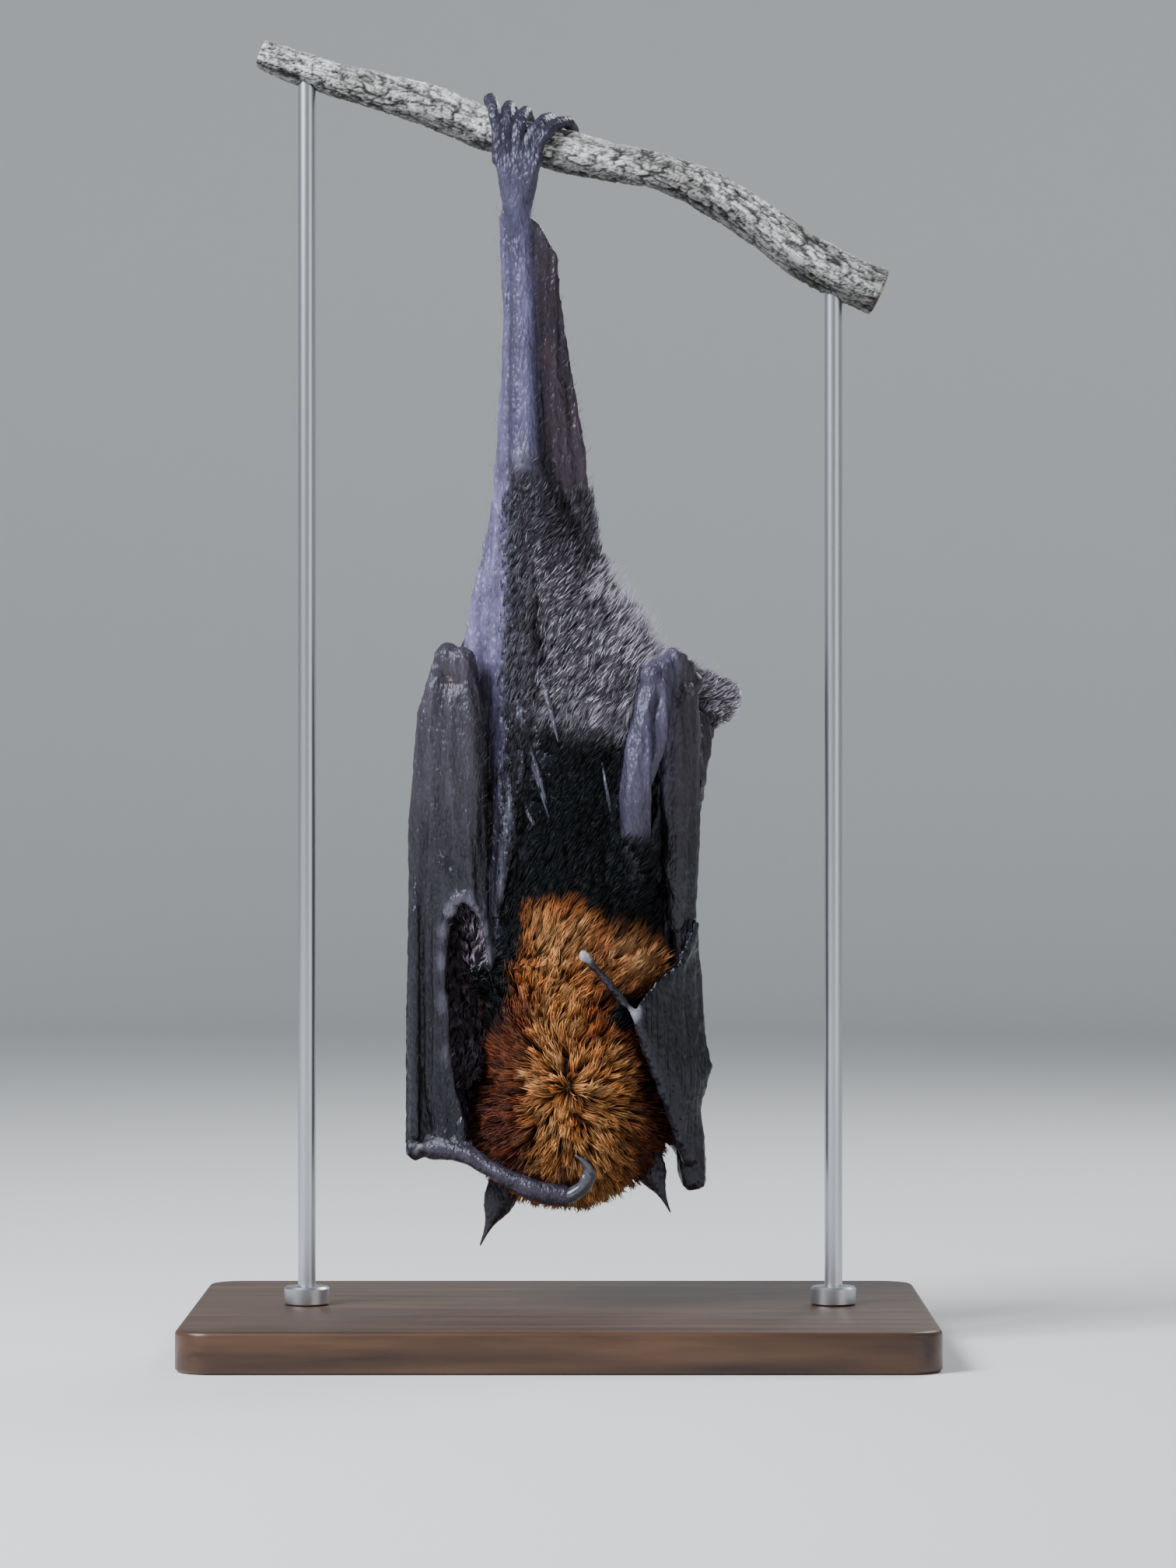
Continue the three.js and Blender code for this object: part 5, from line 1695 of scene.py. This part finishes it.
    def piece(
        self, name: str, steps: int, locks: dict[str, Array], random: np.random.Generator
    ) -> bpy.types.Object:
        """Builds one piece of the coat.

        Args:
            name: its name.
            steps: how many lengths each lock bends in.
            locks: what locks() returns, or rows of it.
            random: the source of chance.

        Returns:
            The piece, painted and unwrapped.
        """
        points, faces, share = self.shape_of(locks, steps, random)
        shape = Shape(points, faces)
        piece = shape.placed(name)
        paint(piece.data, self.colours(locks, share))
        per = len(share) // len(locks["roots"])
        corner = np.tile(np.arange(per) % 3 / 3.0, len(locks["roots"]))
        spot = np.repeat(self.unwrapped(locks), per, axis=0) + np.stack([corner, share], axis=1) * 0.003
        layer = piece.data.uv_layers.new(name="OFBake")
        layer.data.foreach_set("uv", spot[shape.faces.ravel()].astype(np.float32).ravel())
        return piece

    def build(self, dresser: Dresser) -> None:
        """Builds and dresses the whole coat, in pieces that stay small enough.

        Args:
            dresser: gives the pieces their finish.
        """
        random = np.random.default_rng(self.seed)
        locks = self.locks(random)
        golden = np.isin(locks["kinds"], ("head", "neck"))
        LOG.info("coat: %d long locks, %d short", golden.sum(), (~golden).sum())
        sorts = (("mantle", golden, "mantle_fur", 3), ("body", ~golden, "body_fur", 2))
        for label, chosen, slot, steps in sorts:
            rows = np.flatnonzero(chosen)
            rows = rows[np.argsort(locks["roots"][rows, 2])]
            each = self.most // (6 * steps - 2)
            parts = np.array_split(rows, max(1, math.ceil(len(rows) / each)))
            for number, part in enumerate(parts):
                some = {key: value[part] for key, value in locks.items()}
                piece = self.piece(f"coat_{label}_{number + 1}", steps, some, random)
                dresser.dress(piece, Finish.COAT)


# ---------- claws ----------
@dataclass(frozen=True)
class Claw:
    """One hooked claw.

    Attributes:
        path: its middle line, from root to tip.
        root: half its height at the root.
        node: the solid that it replaces, if it has one.
    """

    name: str
    path: tuple[Point, ...]
    root: float
    node: str = ""

    def shape(self) -> Shape:
        """Returns the claw, flattened from side to side and coming to a point."""
        girth = self.root * np.array([0.94, 1.06, 1.0, 0.86, 0.66, 0.42, 0.13])
        return sweep(np.array(self.path), girth, 20, 40, 0.72)


@dataclass(frozen=True)
class Toes:
    """Where the toes run, so that their claws can be set on them.

    Attributes:
        holding: for each holding toe, how far across its root, its top and its claw lie.
        root_z: the height of the holding toes' roots.
        claw_from: the share of a toe's line where its claw begins.
        turns: how far round the branch the points of a holding toe lie, in degrees.
        top: the turn where a toe begins to lead over to its claw.
        curl: the turn where it begins to close on the branch.
    """

    holding: tuple[tuple[float, float, float], ...] = (
        (-24.6, -27.6, -26.5), (-21.0, -19.8, -19.0), (-16.6, -13.2, -10.5), (-12.0, -3.4, -0.6),
        (-8.6, 4.0, 8.0),
    )
    root_z: float = 466.0
    toe_radius: float = 2.35
    claw_from: float = 0.73
    turns: tuple[int, ...] = (-5, 28, 62, 96, 130, 158, 182)
    top: int = 96
    curl: int = 130
    middle_toe: tuple[Point, ...] = (
        (-6.5, 36.4, 200.8), (-12.5, 35.8, 197.6), (-18.5, 33.2, 195.0), (-22.0, 28.4, 193.4),
        (-21.2, 24.4, 192.4),
    )
    spacing: float = 3.7

    def over_branch(self, root_x: float, top_x: float, claw_x: float) -> Array:
        """Works out the line of a toe that goes up and over the branch.

        Args:
            root_x: how far across its root lies.
            top_x: how far across it crosses the top of the branch.
            claw_x: how far across its claw ends.

        Returns:
            Its middle line.
        """
        over = PERCH.radius(top_x) + self.toe_radius + 0.5
        start, end = self.turns[0], self.turns[-1]
        line = [(root_x, -9.8, self.root_z)]
        for turn in self.turns:
            x = root_x + (top_x - root_x) * min(1.0, (turn - start) / 100)
            if turn >= self.top:
                x = top_x + (claw_x - top_x) * (turn - self.top) / (end - self.top)
            reach = over - 0.9 * max(0, turn - self.curl) / (end - self.curl)
            angle = math.radians(turn)
            line.append((x, PERCH.y - reach * math.cos(angle), PERCH.height(x) + reach * math.sin(angle)))
        return curve_through(np.array(line), 60)

    def folded(self, number: int) -> Array:
        """Returns the middle line of a toe of the folded foot, numbered from 0."""
        shift = (number - 2) * self.spacing
        return curve_through(np.array(self.middle_toe) + np.array([0.45, 0.0, -0.9]) * shift, 60)

    def lines(self) -> dict[str, Array]:
        """Returns every toe's middle line by the name of its solid."""
        lines = {f"right_toe_{i + 1}": self.over_branch(*row) for i, row in enumerate(self.holding)}
        lines.update({f"left_toe_{i + 1}": self.folded(i) for i in range(5)})
        return lines


@dataclass(frozen=True)
class Claws:
    """All twelve claws."""

    toes: Toes = field(default_factory=Toes)
    thumbs: tuple[Claw, ...] = (
        Claw(
            "claw_right_thumb",
            ((3.6, -27.8, 61.3), (5.2, -28.4, 62.0), (9.4, -29.6, 65.2), (11.2, -31.0, 70.0),
             (9.8, -32.4, 74.6), (6.0, -33.4, 77.6)),
            4.0,
            "right_thumb_claw",
        ),
        Claw(
            "claw_left_thumb",
            ((46.4, 35.0, 80.6), (45.4, 36.4, 82.2), (42.0, 40.4, 86.8), (38.8, 41.4, 92.0),
             (37.6, 39.4, 97.4)),
            3.6,
            "left_thumb_claw",
        ),
    )

    def build(self, dresser: Dresser) -> None:
        """Builds and dresses the claws.

        Args:
            dresser: gives them their finish.
        """
        for claw in self.thumbs:
            dresser.dress(claw.shape().placed(claw.name), Finish.HORN, (claw.node,))
        for name, line in self.toes.lines().items():
            start = int(len(line) * self.toes.claw_from)
            path = tuple(map(tuple, line[start::4]))
            if name.startswith("right"):
                path += (tuple(line[-1]),)
            claw = Claw(f"claw_{name}", path, 2.0)
            dresser.dress(claw.shape().placed(claw.name), Finish.HORN)


# ---------- eyes ----------
@dataclass(frozen=True)
class Eyes:
    """Two wet balls with a wide round pupil."""

    radius: float = 5.55
    iris: Colour = (0.20, 0.075, 0.024)
    pupil: Colour = (0.004, 0.003, 0.003)
    white: Colour = (0.05, 0.028, 0.022)

    def build(self, dresser: Dresser) -> None:
        """Builds and dresses the eyes.

        Args:
            dresser: gives them their finish.
        """
        for name, side in (("right", 1.0), ("left", -1.0)):
            centre, out, _ = SKULL.gaze(side)
            ball = sphere(centre, self.radius, 40)
            turn = np.degrees(np.arccos(np.clip(unit(ball.points - centre) @ out, -1, 1)))
            colour = np.array(self.iris) * (1 + 0.35 * cloud(ball.points, 0.6, 61))[:, None]
            colour *= (1 - 0.55 * smooth_step(27.0, 42.0, turn))[:, None]
            colour = mixed(colour, self.pupil, smooth_step(20.0, 16.5, turn))
            colour = mixed(colour, self.white, smooth_step(44.0, 50.0, turn))
            piece = ball.placed(f"eyeball_{name}")
            paint(piece.data, colour)
            dresser.dress(piece, Finish.EYE, (f"eye_{name}",))


# ---------- perch and stand ----------
@dataclass(frozen=True)
class Perch:
    """The cut length of branch and its bark.

    Attributes:
        stations: its x, height and radius along its length.
        slope: the way that its sawn ends face.
        round_size: the radius that the patterns of the bark are drawn for.
    """

    y: float = 2.0
    stations: tuple[tuple[float, float, float], ...] = (
        (-118, 510, 6.6), (-98, 502.5, 7.3), (-75, 496, 7.4), (-52, 490, 9), (-37, 483.5, 9.6),
        (-24, 478.5, 9), (-6, 473, 8.8), (9, 469.7, 9.2), (25, 466.5, 8.3), (40, 463.5, 8.1),
        (56, 457, 9), (71, 448.5, 9.4), (87, 437, 10.2), (102, 426.5, 10.1), (126, 416, 10.4),
    )
    middle_x: float = 4.0
    half_length: float = 116.0
    slope: Point = (1.0, 0.0, -0.36)
    round_size: float = 9.0
    pale: Colour = (0.95, 0.95, 0.93)
    brown: Colour = (0.21, 0.189, 0.168)
    wood: Colour = (0.52, 0.38, 0.23)

    def height(self, x: Array | float) -> Array:
        """Returns the height of the branch's middle line."""
        return np.interp(x, [s[0] for s in self.stations], [s[1] for s in self.stations])

    def radius(self, x: Array | float) -> Array:
        """Returns the radius of the branch."""
        return np.interp(x, [s[0] for s in self.stations], [s[2] for s in self.stations])

    def turn(self, points: Array) -> Array:
        """Returns how far round the branch each place lies, as an angle."""
        return np.arctan2(points[:, 2] - self.height(points[:, 0]), points[:, 1] - self.y)

    def straight(self, points: Array) -> Array:
        """Returns the places as they would lie on a straight round branch, for the patterns of the bark."""
        turn, size = self.turn(points), self.round_size
        return np.stack([points[:, 0], np.cos(turn) * size, np.sin(turn) * size], axis=1)

    def cut(self, shape: Shape) -> Array:
        """Returns 1 on the two sawn ends and 0 on the bark."""
        facing = smooth_step(0.85, 0.97, np.abs(shape.normals() @ unit(np.array(self.slope))))
        return facing * (np.abs(shape.points[:, 0] - self.middle_x) > self.half_length)

    def cracks(self, places: Array, low: float, fine_low: float) -> tuple[Array, Array]:
        """Draws the cracks of the bark.

        Args:
            places: what straight() returns.
            low: how far from their middle the long cracks go; nearer to 1 is narrower.
            fine_low: the same for the fine ones.

        Returns:
            The long cracks and the fine ones, from 0 to 1.
        """
        long_ones = smooth_step(low, 1.0, 1 - np.abs(cloud(places, (9.0, 3.2, 3.2), 51, 3)))
        return long_ones, smooth_step(fine_low, 1.0, 1 - np.abs(cloud(places, (3.4, 1.3, 1.3), 57, 2)))

    def shape(self) -> Shape:
        """Returns the branch with lumps, cracks and rings in its bark."""
        plain = Shape.of_node("perch_branch").grown(0.1).voxelled(0.62).smoothed(8)
        places = self.straight(plain.points)
        cracks, fine = self.cracks(places, 0.80, 0.78)
        rings = smooth_step(0.75, 1.0, 1 - np.abs(cloud(places, (1.8, 22.0, 22.0), 63, 2)))
        relief = 0.75 * cloud(places, 11.0, 71) - 0.9 * cracks - 0.4 * fine - 0.25 * rings
        return plain.grown(relief * (1 - self.cut(plain)) - 0.1).thinned(150_000)

    def colours(self, shape: Shape) -> Array:
        """Colours the branch.

        Args:
            shape: the branch.

        Returns:
            The colour of each of its points: pale lichen on brown bark, dark cracks, painted shade on the
                underside, sawn ends.
        """
        x, y, z = shape.points.T
        places = self.straight(shape.points)
        cracks, fine = self.cracks(places, 0.78, 0.72)
        lichen = smooth_step(-0.5, 0.6, cloud(places, (16.0, 7.0, 7.0), 81))
        colour = mixed(np.array(self.brown), self.pale, 0.35 + 0.65 * lichen)
        colour *= (1 - 0.93 * np.maximum(cracks, 0.85 * fine))[:, None]
        # Painted shade: the bark darkens on the underside of the branch.
        colour *= (1 - 0.72 * smooth_step(-0.1, -0.75, np.sin(self.turn(shape.points))))[:, None]
        reach = np.hypot(z - self.height(x), y - self.y)
        growth = 0.75 + 0.25 * np.sin(reach * 5.2 + cloud(shape.points, 3.0, 91))
        wood = np.array(self.wood) * (growth * smooth_step(9.4, 8.2, reach))[:, None]
        return mixed(colour, wood, self.cut(shape))

    def build(self, dresser: Dresser) -> None:
        """Builds and dresses the branch.

        Args:
            dresser: gives it its finish.
        """
        shape = self.shape()
        piece = shape.placed("bark")
        paint(piece.data, self.colours(shape))
        dresser.dress(piece, Finish.BARK, ("perch_branch",))


PERCH = Perch()


@dataclass(frozen=True)
class Stand:
    """The plain display stand: a wooden base, two rods and their collars."""

    width: float = 290.0
    depth: float = 200.0
    height: float = 16.0
    corner_radius: float = 14.0
    bevel: float = 2.0
    rod_radius: float = 3.5
    rod_places: tuple[float, float] = (-100.0, 108.0)
    collar_radius: float = 9.0
    collar_height: float = 7.0
    edge_angle: float = 32.0

    def outline(self, inset: float, height: float) -> Array:
        """Draws the base's outline at one height.

        Args:
            inset: how far in from the widest outline it runs.
            height: its height.

        Returns:
            Its points, once round.
        """
        corner = max(self.corner_radius - inset, 1.0)
        ring = []
        for quarter, (sx, sy) in enumerate(((1, 1), (-1, 1), (-1, -1), (1, -1))):
            middle = np.array([sx, sy]) * (np.array([self.width, self.depth]) / 2 - self.corner_radius)
            for step in range(13):
                angle = math.radians(quarter * 90 + step * 7.5)
                ring.append((*(middle + corner * np.array([math.cos(angle), math.sin(angle)])), height))
        return np.array(ring)

    def lathe(self, rings: list[Array]) -> Shape:
        """Returns a closed shape through rings of equal count, from bottom to top."""
        points = np.vstack([*rings, rings[0].mean(axis=0), rings[-1].mean(axis=0)])
        return Shape(points, np.array(tube_faces(len(rings), len(rings[0])))[:, ::-1])

    def base(self) -> Shape:
        """Returns the base with eased edges."""
        rings = [self.outline(self.bevel * 0.5, 0.0), self.outline(0.0, self.bevel * 0.5)]
        for step in range(7):
            angle = math.radians(step * 15)
            inset, drop = self.bevel * (1 - math.cos(angle)), self.bevel * (1 - math.sin(angle))
            rings.append(self.outline(inset, self.height - drop))
        return self.lathe(rings)

    def round_bar(self, x: float, profile: list[tuple[float, float]]) -> Shape:
        """Turns a bar or a collar.

        Args:
            x: how far across its axis stands.
            profile: its radii and their heights, from bottom to top.

        Returns:
            The bar, closed at both ends.
        """
        sides = 48
        angle = np.arange(sides) / sides * 2 * math.pi
        rings = []
        for radius, height in profile:
            across, along = x + radius * np.cos(angle), PERCH.y + radius * np.sin(angle)
            rings.append(np.stack([across, along, np.full(sides, height)], axis=1))
        return self.lathe(rings)

    def build(self, dresser: Dresser) -> None:
        """Builds and dresses the stand.

        Args:
            dresser: gives its pieces their finish.
        """
        board = self.base().placed("base_board")
        self.sharp(dresser.dress(board, Finish.WOOD, ("stand_base",)))
        low = self.height + 0.3
        high = low + self.collar_height
        thin, thick = self.rod_radius, self.collar_radius
        for side, x in zip(("left", "right"), self.rod_places):
            top = float(PERCH.height(x) - PERCH.radius(x)) + 4.6
            rod = [(thin - 0.3, low), (thin, low + 0.3), (thin, top - 0.3), (thin - 0.3, top)]
            collar = [(thick - 0.4, low), (thick, low + 0.4), (thick, high - 0.8), (thick - 0.8, high)]
            collar.append((thin + 0.3, high))
            for kind, profile in (("rod", rod), ("collar", collar)):
                piece = self.round_bar(x, profile).placed(f"{kind}_{side}")
                self.sharp(dresser.dress(piece, Finish.STEEL, (f"stand_{kind}_{side}",)))

    def sharp(self, piece: bpy.types.Object) -> None:
        """Keeps the piece's edges crisp."""
        piece.data.set_sharp_from_angle(angle=math.radians(self.edge_angle))


# ---------- studio ----------
@dataclass(frozen=True)
class Lamp:
    """One square soft light; its place and its side are in metres."""

    name: str
    place: Point
    size: float
    watts: float
    colour: Colour

    def hang(self, aim: Point) -> None:
        """Hangs the light and points it at a place."""
        lamp = bpy.data.lights.new(self.name, "AREA")
        lamp.size = self.size
        lamp.energy = self.watts
        lamp.color = self.colour
        holder = bpy.data.objects.new(self.name, lamp)
        holder.location = self.place
        holder.rotation_euler = (Vector(self.place) - Vector(aim)).to_track_quat("Z", "Y").to_euler()
        bpy.context.scene.collection.objects.link(holder)


@dataclass(frozen=True)
class Studio:
    """Pale floor, curved backdrop, soft lights and the camera; all but the lens is in metres."""

    lens: float = 116.33
    camera_place: Point = (0.01105, -2.0, 0.22165)
    lamp_aim: Point = (0.0, 0.0, 0.24)
    room_radius: float = 3.4
    cove_radius: float = 0.8
    wall_height: float = 1.5
    sides: int = 96
    air: Colour = (0.78, 0.84, 0.93)
    air_strength: float = 0.23
    lamps: tuple[Lamp, ...] = (
        Lamp("key", (-1.0, -0.75, 1.25), 0.7, 57.0, (0.86, 0.91, 1.0)),
        Lamp("fill", (1.3, -1.3, 0.5), 1.2, 5.0, (1.0, 0.97, 0.94)),
        Lamp("rim", (0.7, 0.9, 1.2), 0.6, 14.0, (0.92, 0.95, 1.0)),
    )

    def backdrop(self, dresser: Dresser) -> None:
        """Builds the round floor and the low wall that curves up all round it as one sheet.

        Args:
            dresser: gives it its material.
        """
        room, cove = self.room_radius, self.cove_radius
        profile = [(0.0, 0.0), (0.8, 0.0), (room - cove, 0.0)]
        for step in range(1, 13):
            angle = math.radians(step * 7.5)
            profile.append((room - cove * (1 - math.sin(angle)), cove * (1 - math.cos(angle))))
        profile.append((room, self.wall_height))
        sides = self.sides
        turn = np.arange(sides) / sides * 2 * math.pi
        across, along = np.cos(turn), np.sin(turn)
        rings = [np.stack([r * across, r * along, np.full(sides, z)], axis=1) for r, z in profile[1:]]
        points = np.vstack([np.zeros((1, 3)), *rings]) / MM - np.array([0.0, 0.0, 0.2])
        faces = [(0, 1 + k, 1 + (k + 1) % sides) for k in range(sides)]
        for i in range(len(rings) - 1):
            for k in range(sides):
                a, b = 1 + i * sides + k, 1 + i * sides + (k + 1) % sides
                faces += [(a, a + sides, b), (b, a + sides, b + sides)]
        sheet = Shape(points, faces).placed("backdrop")
        sheet.data.materials.append(dresser.material(Finish.STUDIO))

    def build(self, dresser: Dresser) -> None:
        """Sets the floor, the lights and the camera.

        Args:
            dresser: gives the floor its material.
        """
        self.backdrop(dresser)
        for lamp in self.lamps:
            lamp.hang(self.lamp_aim)
        world = bpy.data.worlds.new("studio_air")
        world.use_nodes = True
        background = world.node_tree.nodes["Background"]
        background.inputs["Color"].default_value = (*self.air, 1.0)
        background.inputs["Strength"].default_value = self.air_strength
        bpy.context.scene.world = world
        data = bpy.data.cameras.new("camera")
        data.sensor_width = 36.0
        data.lens = self.lens
        data.clip_start = 0.05
        camera = bpy.data.objects.new("camera", data)
        camera.location = self.camera_place
        camera.rotation_euler = (math.radians(90), 0.0, 0.0)
        bpy.context.scene.collection.objects.link(camera)
        bpy.context.scene.camera = camera


def main() -> None:
    """Builds every piece in order."""
    logging.basicConfig(level=logging.INFO, format="%(name)s: %(message)s")
    dresser = Dresser()
    skin = Skin()
    skin.build(dresser)
    Coat(skin).build(dresser)
    Claws().build(dresser)
    Eyes().build(dresser)
    PERCH.build(dresser)
    Stand().build(dresser)
    Studio().build(dresser)


if __name__ == "__main__":
    main()
